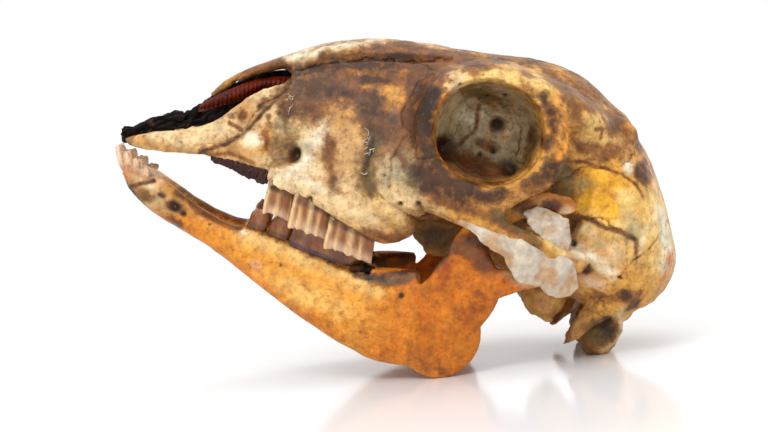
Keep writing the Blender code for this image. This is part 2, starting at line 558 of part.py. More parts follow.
def incisors():
    """Milk incisors of one side: narrow roots that widen to thin, curved blades."""
    blades = []
    for root, tip, width in INCISORS:
        clay = bmesh.new()
        start, end = Vector(root), Vector(tip)
        axis = (end - start).normalized()
        across = Vector((0.25, 1.0, 0.1))
        across = (across - axis * axis.dot(across)).normalized()
        through = axis.cross(across)
        rings = []
        for share, wide, thick in ((-0.2, 0.45, 0.6), (0.3, 0.62, 0.66), (0.62, 0.95, 0.56), (0.88, 1.0, 0.4),
                                   (1.0, 0.8, 0.22)):
            centre = start.lerp(end, share) + through * 0.8 * math.sin(math.pi * max(share, 0))
            rings.append([centre + (across * math.cos(a) * wide + through * math.sin(a) * thick) * width / 2
                          for a in (2 * math.pi * k / 8 for k in range(8))])
        add_loft(clay, rings)
        blades.append(made_object(clay, "incisor"))
    return blades


def build_jaw():
    """Left half of the lower jaw: body, angle, ramus, joint head and coronoid process."""
    clay = bmesh.new()
    add_sweep(clay, JAW_BODY, sides=20, square=2.5)
    add_blob(clay, *JAW_ANGLE)
    add_blob(clay, *JAW_ANGLE_LUMP)
    add_sweep(clay, RAMUS)
    add_sweep(clay, JAW_NECK)
    add_blob(clay, *JAW_HEAD)
    add_sweep(clay, CORONOID, steps=6)
    jaw = made_object(clay, "mandible_left")
    run_together(jaw, voxel=0.75, smoothing=2, faces=JAW_FACES)
    teeth = cheek_teeth(LOWER_TEETH, LOWER_ROW, LOWER_ALVEOLUS, True, JAW_WIDTH_OF_TEETH)
    boolean(jaw, teeth + incisors(), 'UNION')
    boolean(jaw, [region([(-20, -60), (140, -60), (140, 60), (-20, 60)], -30, GAP / 2, "middle plane")],
            'DIFFERENCE')
    keep_largest(jaw)
    return jaw


def tissue_node(name, add, stations, faces):
    clay = bmesh.new()
    add(clay, stations, sides=TISSUE_SIDES)
    thing = made_object(clay, name)
    run_together(thing, voxel=TISSUE_VOXEL, smoothing=1, faces=faces)
    keep_largest(thing)
    return thing


def finish_material(thing):
    kind = thing.name.split("_")[0]
    material = bpy.data.materials.new(thing.name + " finish")
    material.use_nodes = True
    shader = material.node_tree.nodes["Principled BSDF"]
    shader.inputs["Base Color"].default_value = (*bone_colours[kind], 1.0)
    shader.inputs["Roughness"].default_value = 0.45
    shader.inputs["Metallic"].default_value = 0.0
    thing.data.materials.clear()
    thing.data.materials.append(material)


def rest_on_table(nodes):
    """Tips the level skull onto jaw angles and condyles, cuts the small flats and centres it."""
    rise, run = CONDYLE_FOOT[1] - JAW_FOOT[1], CONDYLE_FOOT[0] - JAW_FOOT[0]
    tip = Matrix.Rotation(math.atan2(rise, run), 4, 'Y')
    for node in nodes:
        node.data.transform(tip)

    def lowest(name):
        return min(vert.co.z for node in nodes if node.name.startswith(name) for vert in node.data.vertices)

    floor = max(lowest("mandible"), lowest("occipital")) + SOLE * MM
    for node in nodes:
        clay = bmesh.new()
        clay.from_mesh(node.data)
        cut = bmesh.ops.bisect_plane(clay, geom=clay.verts[:] + clay.edges[:] + clay.faces[:],
                                     plane_co=(0, 0, floor), plane_no=(0, 0, -1), clear_outer=True)
        rim = [part for part in cut["geom_cut"] if isinstance(part, bmesh.types.BMEdge)]
        if rim:
            bmesh.ops.holes_fill(clay, edges=rim)
            bmesh.ops.triangulate(clay, faces=clay.faces)
        clay.to_mesh(node.data)
        clay.free()
    xs = [vert.co.x for node in nodes for vert in node.data.vertices]
    place = Matrix.Translation((-(min(xs) + max(xs)) / 2, 0, -floor))
    for node in nodes:
        node.data.transform(place)


def main():
    for thing in list(bpy.data.objects):
        bpy.data.objects.remove(thing)
    cranium = build_cranium()
    nodes = []
    nodes += bone_from(cranium, "nasal", NASAL, outer=NASAL_HALF_WIDTH)
    nodes += bone_from(cranium, "premaxilla", PREMAXILLA)
    nodes += bone_from(cranium, "lacrimal", LACRIMAL, inner=14.0)
    nodes += bone_from(cranium, "zygomatic", ZYGOMATIC, inner=22.0)
    nodes += bone_from(cranium, "frontal", FRONTAL)
    maxillae = bone_from(cranium, "maxilla", MAXILLA)
    nodes += bone_from(cranium, "temporal", TEMPORAL, inner=9.0)
    nodes.append(middle_bone_from(cranium, "occipital", OCCIPITAL))
    nodes.append(middle_bone_from(cranium, "parietal", PARIETAL))
    keep_largest(cranium)
    cranium.name = "sphenoid"
    nodes.append(cranium)
    bpy.data.objects.remove(maxillae[1])
    maxilla = maxillae[0]
    boolean(maxilla, cheek_teeth(UPPER_TEETH, UPPER_ROW, ALVEOLUS, False, UPPER_WIDTH_OF_TEETH), 'UNION')
    keep_largest(maxilla)
    nodes += [maxilla, mirrored(maxilla, "maxilla_right")]
    jaw = build_jaw()
    nodes += [jaw, mirrored(jaw, "mandible_right")]
    nodes.append(tissue_node("septum", add_plate, SEPTUM, 340))
    for name, stations, faces in (("turbinate", TURBINATE, 220), ("joint_tissue", JOINT_TISSUE, 260),
                                  ("palate_strip", PALATE_STRIP, 140)):
        left = tissue_node(name + "_left", add_sweep, stations, faces)
        nodes += [left, mirrored(left, name + "_right")]
    rest_on_table(nodes)
    for node in nodes:
        finish_material(node)


main()
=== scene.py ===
"""Looks of a young lamb's skull with its lower jaw, dried and stained, dressed round its solids.

Places are given in the skull's own frame, in millimetres: u runs back from the front of the upper jaw,
s runs out from the middle plane and v runs up. The left side, which faces the camera, has s above zero.
Marks on the side of the skull are placed by (u, v) alone and fall on both sides.
"""
import math
import bmesh
import bpy
import numpy as np
from mathutils import Matrix, Vector
from mathutils.bvhtree import BVHTree
from mathutils.kdtree import KDTree


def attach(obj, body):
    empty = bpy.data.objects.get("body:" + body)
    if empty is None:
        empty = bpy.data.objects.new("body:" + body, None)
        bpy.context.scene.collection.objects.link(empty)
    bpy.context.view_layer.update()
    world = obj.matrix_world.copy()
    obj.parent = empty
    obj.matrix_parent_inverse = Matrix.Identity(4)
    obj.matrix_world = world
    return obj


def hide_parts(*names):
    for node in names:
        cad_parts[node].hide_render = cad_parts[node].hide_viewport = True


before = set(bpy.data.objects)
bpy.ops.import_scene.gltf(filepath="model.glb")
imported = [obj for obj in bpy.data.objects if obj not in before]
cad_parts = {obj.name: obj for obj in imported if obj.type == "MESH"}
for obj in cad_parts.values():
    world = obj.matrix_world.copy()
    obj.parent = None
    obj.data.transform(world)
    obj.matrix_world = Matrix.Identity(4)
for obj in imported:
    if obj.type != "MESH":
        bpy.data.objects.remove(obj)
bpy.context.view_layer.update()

MM = 0.001
TIP = math.atan2(20.1, 38.3)    # how far the skull is tipped nose up, from its points of rest
ORIGIN = (-76.92, 74.3)         # X and Z of the skull frame's own zero
SKIN_VOXEL = 0.55
JAW_VOXEL = 0.45
CLEARANCE = 0.2                 # how far bones are swelled to close the sutures, then shrunk again
SHELL = 0.9                     # thickness of the bone plates
ORBIT_CENTRE = (95.0, 41.8)
ORBIT_HALF = (15.0, 13.9)

CRANIAL_BONES = ["premaxilla_left", "premaxilla_right", "nasal_left", "nasal_right", "lacrimal_left",
                 "lacrimal_right", "zygomatic_left", "zygomatic_right", "frontal_left", "frontal_right",
                 "maxilla_left", "maxilla_right", "temporal_left", "temporal_right", "occipital", "parietal",
                 "sphenoid"]
BONE_SLOTS = {"premaxilla": "face_bone", "nasal": "face_bone", "maxilla": "face_bone",
              "lacrimal": "brow_bone", "zygomatic": "brow_bone", "frontal": "brow_bone",
              "temporal": "braincase_bone", "parietal": "braincase_bone", "occipital": "base_bone",
              "sphenoid": "base_bone"}

# Gum lines of the cheek teeth, as (u, v)
ALVEOLUS = [(38, 1.0), (41, 2.6), (43.6, 4.0), (47.7, 5.2), (53.7, 5.3), (59.9, 4.6), (66, 3.6), (73, 2.4),
            (79, 1.6)]
LOWER_ALVEOLUS = [(42, -8.4), (50, -8.2), (60, -8.6), (70, -8.8), (78, -8.2)]

# Cheek teeth: front edge, length, lobes and crown height of each, and how far out each row stands at u
UPPER_TEETH = [(44.0, 7.8, 1, 7.6), (51.9, 11.4, 2, 8.2), (63.4, 14.2, 2, 7.6)]
LOWER_TEETH = [(42.9, 5.8, 1, 5.4), (49.0, 6.6, 1, 5.8), (55.6, 22.4, 3, 5.4)]
UPPER_ROW = [(44, 18.6), (58, 21.6), (78, 24.2)]
LOWER_ROW = [(42, 14.2), (58, 17.0), (78, 19.6)]
TOOTH_LEAN = 0.2    # how far back a cheek tooth leans, for each millimetre of its height

# Milk incisors of one side, front to back: root and tip as (u, s, v), width, and which way the width runs
INCISORS = [((6.6, 3.2, -8.8), (-0.3, 3.0, -2.6), 5.0, (0.5, 0.85, 0.1)),
            ((8.4, 5.0, -8.4), (3.0, 5.6, -3.0), 5.0, (0.75, 0.65, 0.0)),
            ((10.4, 6.2, -7.8), (6.8, 7.2, -3.8), 4.2, (0.9, 0.45, -0.1)),
            ((12.2, 6.6, -7.2), (10.6, 7.8, -4.6), 3.6, (0.95, 0.3, -0.2))]

# Dried tissue, each sheet between a lower and an upper line of (u, v), with how far out it lies along it
SEPTUM_LOW = [(-0.4, 0.4), (0.8, -1.6), (3.4, 0.6), (6, 4.2), (13, 7.4), (20, 10.8), (28, 14.0), (38, 16.0),
              (52, 19.0)]
SEPTUM_HIGH = [(-0.9, 2.1), (0.5, 3.8), (2.0, 3.8), (3.4, 5.2), (6.0, 8.1), (8.8, 10.4), (11.4, 12.6),
               (13.3, 13.4), (14.4, 12.8), (15.1, 14.4), (17.2, 16.9), (19.3, 20.6), (21.3, 23.6),
               (23.5, 25.8), (28.4, 31.2), (33.4, 34.2), (37.7, 36.4), (44, 38.6), (52, 40.0)]
TURBINATE_LOW = [(17.6, 15.4), (21.8, 18.0), (27.2, 22.3), (31.9, 28.2), (40, 31.0), (52, 33.0)]
TURBINATE_HIGH = [(17.9, 17.4), (19.4, 19.8), (23.9, 24.6), (27.2, 27.9), (30.5, 30.4), (34, 32.6),
                  (40, 35.0), (52, 37.0)]
CAPSULE_LOW = [(96.0, 16.2), (100.2, 15.0), (105.1, 13.0), (108.4, 12.6), (111.1, 12.2), (113.4, 9.8),
               (115.7, 7.4), (119.7, 7.2), (123.3, 8.0), (126.2, 6.8), (129.7, 6.4), (132.5, 7.9)]
CAPSULE_HIGH = [(96.4, 17.0), (101.8, 17.4), (106.3, 17.4), (110.4, 18.2), (114.0, 18.6), (118.2, 17.8),
                (122.6, 17.4), (126.0, 18.6), (129.6, 18.0), (131.8, 15.0), (134.0, 11.6)]
TENDON_LOW = [(112.0, 24.2), (115.0, 22.0), (118.5, 20.4), (122.8, 19.4), (126.8, 18.0)]
TENDON_HIGH = [(112.4, 25.4), (115.0, 28.0), (119.4, 28.4), (124.2, 28.0), (127.2, 22.6)]
LINING_LOW = [(26.6, 4.6), (29.4, 4.0), (33, 3.9), (36.7, 3.8), (40.6, 3.6), (43.8, 3.6)]
LINING_HIGH = [(26.2, 5.6), (31, 6.8), (38, 7.6), (43.8, 8.0)]
# Dried gum behind the last lower tooth, as lumps at (u, v) with their half size
GUM_LUMPS = [((75.6, -8.0), 1.4), ((77.6, -7.2), 1.7), ((80.0, -6.8), 1.6), ((82.2, -6.6), 1.5),
             ((84.0, -6.2), 1.1), ((78.8, -8.6), 1.4), ((81.2, -8.2), 1.2)]
GUM_OUT = 21.6      # how far out the gum lies
GUM_VOXEL = 0.25
# Tufts of dried fibre stuck to the face: place and number of strands
FIBRES = [((40.6, 29.6), 6), ((41.6, 27.4), 3), ((65.6, 27.6), 7), ((66.8, 25.0), 9), ((64.0, 24.0), 3),
          ((68.0, 18.0), 3), ((50.0, 24.6), 1), ((60.4, 23.0), 2)]

# What each stain, tissue and tooth looks like, as sRGB
PALETTE = {
    "ivory": "#F1E6CC", "cream": "#EBD0A0", "greygreen": "#B3A47C", "straw": "#F4D083", "tan": "#C59557",
    "gold": "#DCA650", "honey": "#EDA53A", "amber": "#D17A12", "yellow": "#F4B82E", "rust": "#9A4A17",
    "olive": "#6B5831", "brown": "#7B4E2A", "umber": "#482D1A", "violet": "#56331F", "soot": "#170F0B",
    "grey": "#7D6446", "putty": "#B8AB8A", "pink": "#DFB59A", "dentine": "#B98458", "enamel": "#F0CF9C",
    "russet": "#8E5934", "mauve": "#80584A", "slate": "#4E3A40", "pearl": "#EAC9A8", "milk": "#D8CBB8",
    "blush": "#CBA57C", "crimson": "#5A1A0C", "ember": "#6E2407", "oxblood": "#3A120A"}
# The colours that soak into the bone, where the others lie on it
DARK_STAINS = {"rust", "olive", "brown", "umber", "violet", "soot"}

# Stains of the cranium, with painted highlights among them, laid on in this order: colour, line or centre,
# width or half sizes, strength
FACE_STAINS = [
    ("cream", [(4, 4), (17, 8.7), (28, 17), (38, 30)], 7.0, 1.0),
    ("cream", (54, 15), (26, 15), 1.0),
    ("putty", (77, 21), (9, 11), 0.9),
    ("greygreen", [(74, 29), (78, 24), (83, 19.6)], 2.6, 0.8),
    ("brown", (73, 29), (6, 4), 0.5),
    ("straw", (79, 13), (7, 5), 0.7),
    ("tan", [(0, 1.4), (8, 1.8), (16, 3.2), (23, 3.6)], 1.3, 0.9),
    ("gold", [(0, 2.4), (3, 2.0), (7, 1.6)], 1.2, 0.6),
    ("tan", (30.5, 21.5), (5.0, 3.4), 0.9),
    ("brown", (34.6, 26.0), (1.8, 1.2), 0.8),
    ("brown", (27.6, 18.2), (1.2, 0.8), 0.6),
    ("tan", (31.5, 9.8), (7.5, 2.6), 0.8),
    ("brown", [(24, 5.0), (31, 8.6), (38, 8.4)], 0.6, 0.5),
    ("brown", [(25, 3.8), (33, 5.6), (41, 6.4)], 0.9, 0.6),
    ("umber", [(22.9, 5), (25.8, 8.1), (28.9, 10.4), (31.3, 13.6), (32.8, 15.4), (34.1, 19.6), (35.8, 23.6),
               (38, 28.2), (40, 30.5)], 0.55, 0.8),
    ("brown", [(27.6, 16.4), (31.0, 16.2), (32.8, 15.4)], 0.5, 0.8),
    ("brown", (30.4, 20.2), (1.3, 1.5), 0.8),
    ("umber", (34.6, 24.4), (1.6, 1.2), 0.7),
    ("brown", [(37.2, 22.4), (38.6, 19.0), (38.9, 16.6)], 0.7, 0.7),
    ("ivory", (35.6, 15.4), (3.2, 2.6), 0.95),
    ("gold", [(37.6, 18.6), (39.6, 17.4), (40.6, 14.4), (38.6, 12.6)], 1.3, 0.9),
    ("rust", [(37.4, 17.8), (39.2, 16.0), (40.0, 13.6)], 0.7, 0.6),
    ("olive", (43.8, 16.0), (4.6, 7.0), 0.55),
    ("greygreen", (42.0, 21.0), (3.0, 4.0), 0.7),
    ("ivory", [(52.5, 24.0), (51.0, 18.0), (50.8, 12.0), (47.0, 7.0)], 3.0, 0.85),
    ("brown", (46.0, 31.0), (9.5, 6.4), 1.0),
    ("umber", (47.6, 34.0), (8.0, 2.8), 0.8),
    ("umber", (43.0, 26.0), (2.8, 2.6), 0.7),
    ("brown", (45.6, 14.6), (2.4, 3.0), 0.6),
    ("putty", (49.6, 18.4), (2.6, 2.2), 0.9),
    ("ivory", (53.4, 20.6), (2.0, 1.8), 0.8),
    ("umber", (41.6, 24.0), (2.6, 2.0), 0.55),
    ("tan", (60.0, 20.0), (7.5, 9.5), 0.8),
    ("umber", [(66.4, 31.0), (66.8, 27.0), (67.6, 22.0), (67.8, 18.0)], 0.9, 0.9),
    ("brown", [(73.9, 26.9), (78.5, 24.4), (83.5, 22.6), (87.1, 20.8), (93.0, 19.6)], 0.7, 0.9),
    ("brown", [(70.8, 15.5), (77.1, 13.4), (81.6, 12.6)], 0.4, 0.7),
    ("brown", (56.7, 20.4), (1.4, 3.6), 0.7),
    ("brown", [(54.8, 24.0), (58.2, 17.0), (61.6, 10.6)], 1.7, 0.55),
    ("tan", (56.0, 31.0), (6.0, 5.0), 0.7),
    ("gold", (62.0, 41.0), (11.0, 5.6), 0.85),
    ("umber", (58.0, 37.4), (9.5, 3.4), 1.0),
    ("umber", [(50, 37.6), (57, 41.6), (66, 45.6)], 1.6, 0.9),
    ("brown", (54.0, 39.6), (6.2, 3.2), 0.9),
    ("brown", (66.0, 45.4), (4.2, 1.8), 0.6),
    ("brown", (60.6, 36.2), (4.0, 1.8), 0.55),
    ("olive", [(61, 34.6), (65.4, 30.2), (67.4, 24.3), (68.4, 17.3), (71.4, 14.4)], 2.2, 0.75),
    ("soot", [(62, 33.6), (66, 29.2), (67.6, 24.0), (68.2, 18.0)], 0.8, 0.6),
    ("umber", [(62, 34.4), (68, 34.6), (78, 34.8)], 2.2, 0.95),
    ("brown", (70.0, 31.6), (8.0, 2.6), 0.8),
    ("greygreen", (80.0, 24.0), (5.0, 5.0), 0.45),
    ("tan", (80.0, 7.6), (8.0, 3.6), 0.75),
    ("brown", [(75, 3.8), (81, 4.4), (88, 7.4)], 1.8, 0.65),
    ("cream", [(44, 5.4), (56, 6.8), (65, 7.2), (75, 6.6)], 3.2, 0.85),
    ("ivory", (56.0, 9.4), (5.0, 1.6), 0.5),
    ("brown", (56.6, 4.8), (1.3, 0.6), 0.8),
    ("brown", [(44, 4.4), (56, 3.6), (66, 2.4), (78, 1.0)], 0.8, 0.5)]
BROW_STAINS_AND_HIGHLIGHTS = [
    ("brown", [(28, 32.0), (36, 37.0)], 2.4, 0.55),
    ("umber", [(38, 37.0), (47.8, 41.4), (55, 45.6), (62, 48.8), (68, 51.6), (76, 53.6)], 2.2, 0.8),
    # Painted highlight along the top of the nasal bones, in the next two rows
    ("ivory", [(36, 39.4), (45, 46.0), (51, 50.0), (58.5, 54.6)], 1.5, 0.85),
    ("cream", [(58.5, 54.6), (67, 57.2), (80, 59.6)], 0.9, 0.7),
    ("brown", (73.0, 53.0), (9.0, 3.0), 0.75),
    ("umber", (69.0, 52.4), (4.0, 1.5), 0.5),
    ("brown", (80.6, 56.6), (7.0, 3.2), 0.65),
    ("gold", (70.0, 41.0), (4.6, 5.6), 0.75),
    ("brown", (73.4, 43.0), (4.6, 7.4), 0.75),
    ("violet", (73.6, 44.0), (3.4, 4.4), 0.8),
    ("soot", (76.2, 41.4), (3.0, 5.4), 1.0),
    ("violet", (74.6, 36.4), (4.4, 2.4), 0.8),
    ("cream", (83.0, 51.4), (5.0, 3.2), 1.0),
    ("cream", (81.6, 50.4), (3.0, 3.0), 1.0),
    ("cream", (83.6, 52.4), (3.4, 2.0), 1.0),
    ("straw", [(84.6, 52.6), (88.4, 55.8), (93.6, 57.2)], 1.4, 0.9),
    ("straw", [(84.4, 53.0), (89.4, 56.8), (95.4, 57.6)], 2.0, 0.95),
    ("tan", (92.0, 61.2), (8.0, 2.6), 0.6),
    ("umber", [(89, 60.8), (95, 62.6), (100, 63.6)], 0.9, 0.75),
    ("straw", (103.0, 59.8), (11.0, 4.8), 0.8),
    ("brown", (98.4, 60.4), (2.2, 1.2), 0.5),
    ("gold", (108.0, 47.0), (5.6, 11.0), 0.8),
    ("umber", [(104.6, 56.8), (108.6, 53.2), (110.4, 49.0), (110.6, 44.4)], 1.5, 0.65),
    ("brown", [(104.8, 62.6), (111.0, 60.6), (115.6, 56.4), (118.2, 51.0)], 1.8, 0.55),
    ("honey", [(107.6, 57.8), (113.0, 54.4), (115.6, 49.0), (114.6, 42.6)], 1.2, 0.9),
    ("straw", (124.0, 54.0), (8.0, 7.0), 0.9),
    ("brown", (119.4, 58.6), (4.0, 2.6), 0.45),
    ("umber", [(122.4, 53.4), (124.4, 54.4), (124.8, 52.2)], 0.6, 0.5),
    ("brown", (129.0, 57.0), (4.4, 3.6), 0.8),
    ("honey", (131.8, 57.8), (2.2, 1.5), 0.85),
    ("brown", (127.6, 49.2), (5.6, 2.8), 0.6),
    ("violet", (121.0, 47.4), (4.0, 1.8), 0.55),
    ("umber", (88.0, 23.6), (12.0, 4.2), 1.0),
    ("umber", (92.6, 22.0), (4.0, 1.8), 0.6),
    ("violet", [(78.6, 36), (81.0, 31.0), (85.0, 26.6)], 2.4, 0.7),
    ("cream", (80.0, 15.0), (6.0, 4.6), 0.85),
    ("tan", [(99, 23.8), (105.4, 25.6), (111, 29.4), (115, 34)], 2.2, 0.7),
    ("honey", [(79.9, 47.0), (79.6, 41.0), (80.8, 36.0), (83.9, 31.6), (88.0, 28.6)], 0.42, 0.9),
    ("gold", [(101.6, 27.6), (107.6, 32.6), (110.8, 40)], 0.6, 0.8),
    ("umber", [(83.0, 28.6), (80.0, 33.0), (78.6, 38.0)], 1.6, 0.8),
    ("soot", [(76.6, 45.4), (77.2, 41.6), (78.4, 37.6)], 1.9, 1.0),
    ("umber", [(83.0, 29.0), (90, 25.2), (99, 25.2), (104, 27.4)], 2.0, 0.9),
    ("gold", [(92, 18.6), (100, 19.2), (110, 18.8), (122, 18.0)], 2.8, 0.8),
    ("brown", [(88, 19.6), (96, 20.4), (104, 20.8), (112, 20.2)], 1.3, 0.6),
    ("greygreen", (88.6, 17.2), (3.6, 1.8), 0.6),
    ("olive", [(105.0, 22.3), (110.4, 21.7), (116.6, 20.9)], 1.3, 0.85),
    ("straw", [(117.0, 21.6), (121.0, 20.6), (126.0, 19.4)], 1.6, 0.9),
    ("olive", (117.6, 18.4), (3.4, 1.6), 0.6)]
BRAINCASE_STAINS_AND_HIGHLIGHTS = [
    ("yellow", (131.0, 35.0), (20.0, 12.0), 1.0),
    ("straw", (139.0, 30.0), (12.0, 10.0), 0.85),
    ("olive", (118.0, 36.0), (8.0, 8.0), 1.0),
    ("umber", (113.6, 34.0), (5.0, 7.0), 0.9),
    ("greygreen", (124.4, 38.0), (4.6, 2.6), 0.7),
    ("straw", (137.6, 39.8), (4.6, 2.6), 0.9),
    ("yellow", (133.0, 35.4), (6.4, 3.6), 1.0),
    ("amber", [(130.0, 38.2), (131.8, 39.6), (133.4, 38.2)], 0.9, 0.5),
    ("greygreen", (143.4, 31.6), (4.0, 4.6), 0.9),
    ("greygreen", (139.4, 35.4), (2.4, 3.4), 0.5),
    ("ivory", (146.8, 32.0), (1.4, 6.4), 0.8),
    ("tan", (134.0, 25.4), (9.0, 4.8), 0.9),
    ("cream", (130.4, 26.8), (4.4, 2.0), 0.7),
    ("cream", (139.4, 23.6), (4.4, 3.0), 0.7),
    ("amber", (137.2, 22.6), (2.2, 1.6), 0.45),
    ("greygreen", (134.8, 25.0), (2.2, 1.2), 0.7),
    ("ivory", [(126.6, 21.8), (131.0, 21.0), (136.0, 19.6), (141.6, 18.6)], 1.7, 0.9),
    ("umber", [(113.1, 39.6), (116, 41.8), (123, 44.0), (128, 44.6), (134, 44.8), (139, 43.4), (143, 40.5)],
     0.5, 0.6),
    ("brown", [(125.3, 28.6), (129.0, 29.9), (135.7, 29.6), (139.6, 30.0), (143.0, 30.0), (145.2, 28.6)],
     0.6, 0.7),
    ("umber", (131.6, 29.8), (2.0, 0.8), 0.7),
    ("umber", (143.4, 29.8), (1.6, 0.9), 0.7),
    ("brown", (127.0, 27.0), (1.8, 3.4), 0.8),
    ("brown", [(145.2, 28.6), (146.0, 26.0)], 0.7, 0.6),
    ("ivory", (136.1, 46.8), (2.4, 2.4), 1.0),
    ("violet", (141.0, 47.6), (3.6, 3.4), 0.95),
    # Painted highlight and glow along the back edge of the braincase, in the next three rows
    ("pearl", [(141.6, 49.4), (146.0, 44.6), (150.0, 40.0)], 1.2, 0.9),
    ("straw", [(147, 41), (152, 34), (156, 25)], 5.4, 1.0),
    ("ivory", [(150, 38.6), (155.6, 30.0), (157.4, 25)], 2.4, 0.9),
    ("amber", [(156.8, 28.6), (158.4, 25), (157.6, 21)], 1.3, 0.8)]
BASE_STAINS_AND_HIGHLIGHTS = [
    ("gold", (150.0, 18.0), (10.0, 7.0), 0.9),
    ("pearl", (138.0, 13.6), (4.4, 2.0), 0.8),
    ("brown", [(141.0, 10.6), (147.0, 12.6), (152.0, 16.0)], 1.4, 0.45),
    ("umber", (148.0, 14.4), (2.4, 1.7), 0.9),
    ("violet", (151.4, 12.0), (2.0, 2.4), 0.95),
    ("soot", (134.9, 16.9), (2.0, 1.4), 1.0),
    ("soot", (144.4, 18.2), (1.1, 0.5), 0.9),
    ("gold", [(146.4, 8.6), (143.4, 4.0), (141.8, -0.6), (141.4, -3.6)], 1.2, 1.0),
    ("tan", (140.0, 0.0), (2.4, 6.0), 0.9),
    ("brown", [(138.4, 6.0), (138.0, 0.0), (138.6, -4.6)], 0.9, 0.7),
    ("tan", (130.6, 5.0), (8.6, 7.6), 0.9),
    ("tan", (134.4, 3.0), (1.6, 3.4), 0.8),
    ("olive", (148.2, -1.0), (6.4, 7.0), 0.95),
    # Painted highlight on the lower edge of the occipital condyle
    ("tan", (148.4, -3.6), (3.4, 1.8), 0.8),
    ("umber", (149.6, 2.4), (2.4, 2.6), 0.9),
    ("soot", (147.4, 5.4), (2.0, 1.4), 0.9),
    # Painted highlight along the back rim of the occipital condyle
    ("cream", [(150.0, 9.0), (152.4, 5.0), (152.2, 0.6), (150.4, -3.0)], 1.7, 1.0),
    ("grey", (94.0, 8.0), (8.0, 6.0), 0.95)]
SOCKET_STAINS = [
    ("putty", (95.0, 41.8), (24.0, 22.0), 1.0),
    ("cream", (99.0, 43.0), (5.0, 5.0), 0.6),
    ("ivory", (90.6, 43.4), (4.4, 4.0), 0.5),
    ("olive", (90.0, 51.0), (8.0, 2.6), 0.6),
    ("brown", (96.0, 31.6), (12.0, 3.4), 0.8),
    ("umber", (86.6, 33.0), (3.0, 2.4), 0.8),
    ("umber", (108.4, 44.0), (2.2, 9.0), 0.6),
    ("brown", [(91.0, 47.4), (92.6, 41.0), (90.0, 35.6)], 0.6, 0.6),
    ("brown", (97.0, 38.0), (4.0, 1.4), 0.6)]
# Holes in the bone: centre, radius and depth
FACE_HOLES = [((48.0, 14.8), 1.7, 2.4), ((47.8, 16.2), 1.4, 1.6), ((80.0, 14.3), 0.7, 0.9),
              ((84.4, 16.4), 0.7, 0.9), ((56.5, 5.6), 0.8, 0.8), ((97.6, 63.2), 0.9, 1.0),
              ((73.0, 20.0), 0.4, 0.5), ((82.8, 51.0), 0.4, 0.5), ((128.8, 22.2), 0.8, 0.8)]
SOCKET_HOLES = [((97.8, 44.1), 2.0, 2.2), ((105.0, 34.4), 2.2, 2.6), ((86.3, 32.6), 3.4, 3.0),
                ((91.9, 50.4), 0.6, 0.8), ((96.1, 52.8), 0.5, 0.8), ((99.6, 37.0), 0.9, 0.9),
                ((96.6, 34.6), 0.7, 0.8)]
JAW_STAINS = [
    ("honey", (60.0, -15.0), (36.0, 12.0), 1.0),
    ("amber", (103.0, -8.0), (20.0, 26.0), 0.95),
    ("straw", [(44, -10.8), (56, -10.6), (68, -10.2), (82, -10.6)], 3.0, 0.75),
    ("straw", (66.0, -20.0), (16.0, 4.0), 0.5),
    ("amber", [(30, -17.6), (46, -21.6), (60, -24.6), (76, -27.0)], 2.4, 0.6),
    ("pink", (49.0, -17.6), (2.4, 1.2), 0.6),
    ("greygreen", (15.0, -11.6), (10.0, 5.0), 0.8),
    ("cream", (12.0, -8.6), (5.0, 2.0), 0.8),
    ("gold", [(15, -8.0), (22, -9.4), (30, -11.6)], 1.1, 0.8),
    ("pearl", [(-0.6, -3.0), (3.4, -4.2), (7.4, -5.0), (12.0, -5.6)], 3.0, 1.0),
    ("dentine", [(4.6, -7.6), (8.6, -8.0), (12.4, -7.8)], 0.9, 0.7),
    ("umber", (22.0, -11.9), (3.2, 1.7), 0.85),
    ("umber", (17.0, -10.2), (1.6, 0.9), 0.7),
    ("umber", [(6.4, -12.4), (9.6, -13.6), (12.0, -15.2)], 1.0, 0.85),
    ("umber", [(8.0, -12.0), (10.4, -9.8), (13.4, -7.6)], 0.6, 0.8),
    ("ivory", (13.2, -9.2), (0.8, 0.6), 0.9),
    ("olive", (12.6, -12.4), (3.0, 1.8), 0.6),
    ("brown", (24.0, -15.8), (4.0, 1.6), 0.6),
    ("brown", [(21, -7.6), (28.9, -10.1), (36.5, -10.4), (42, -9.8)], 1.2, 0.8),
    ("ivory", (42.8, -10.6), (1.3, 1.0), 0.8),
    ("umber", [(43.5, -8.6), (56.4, -8.8), (68, -8.4), (76, -8.8)], 0.9, 0.6),
    ("soot", [(76.5, -9.2), (80.0, -8.4), (84.0, -7.0)], 1.2, 0.9),
    ("olive", [(83, -8.6), (88.6, -6.0), (93.6, -2.4), (96.6, 3.0), (98.6, 10.0)], 1.1, 0.6),
    ("umber", [(83.8, -6.0), (88.4, -3.8), (93.6, -0.8), (96.4, 3.0), (98.0, 7.6)], 0.8, 0.7),
    ("umber", (104.0, 13.0), (4.6, 2.2), 0.9),
    ("brown", (101.6, 9.6), (3.6, 3.0), 0.85),
    ("brown", (107.0, 8.0), (4.6, 2.4), 0.7),
    ("umber", (108.6, 10.6), (2.4, 1.6), 0.7),
    ("rust", (99.0, 1.0), (2.0, 6.0), 0.35),
    ("umber", (90.2, -9.7), (0.9, 0.8), 0.8),
    ("brown", (104.6, -23.4), (7.0, 3.0), 0.25),
    ("brown", (110.0, -4.0), (3.0, 7.0), 0.25),
    ("olive", (106.0, 22.0), (4.0, 4.6), 0.6),
    ("tan", (116.0, 27.0), (14.0, 7.0), 1.0),
    ("brown", (112.0, 26.6), (5.0, 2.2), 0.7),
    ("violet", (119.0, 29.4), (3.6, 2.4), 0.8),
    ("pearl", (124.0, 29.6), (2.8, 2.2), 0.9),
    ("cream", (118.0, 9.0), (6.0, 3.6), 0.7)]
JAW_HOLES = [((21.6, -11.6), 1.6, 1.8), ((25.0, -12.8), 0.8, 1.0), ((90.2, -9.7), 0.5, 0.5),
             ((56.0, -15.0), 0.35, 0.5), ((33.0, -12.6), 0.35, 0.5)]


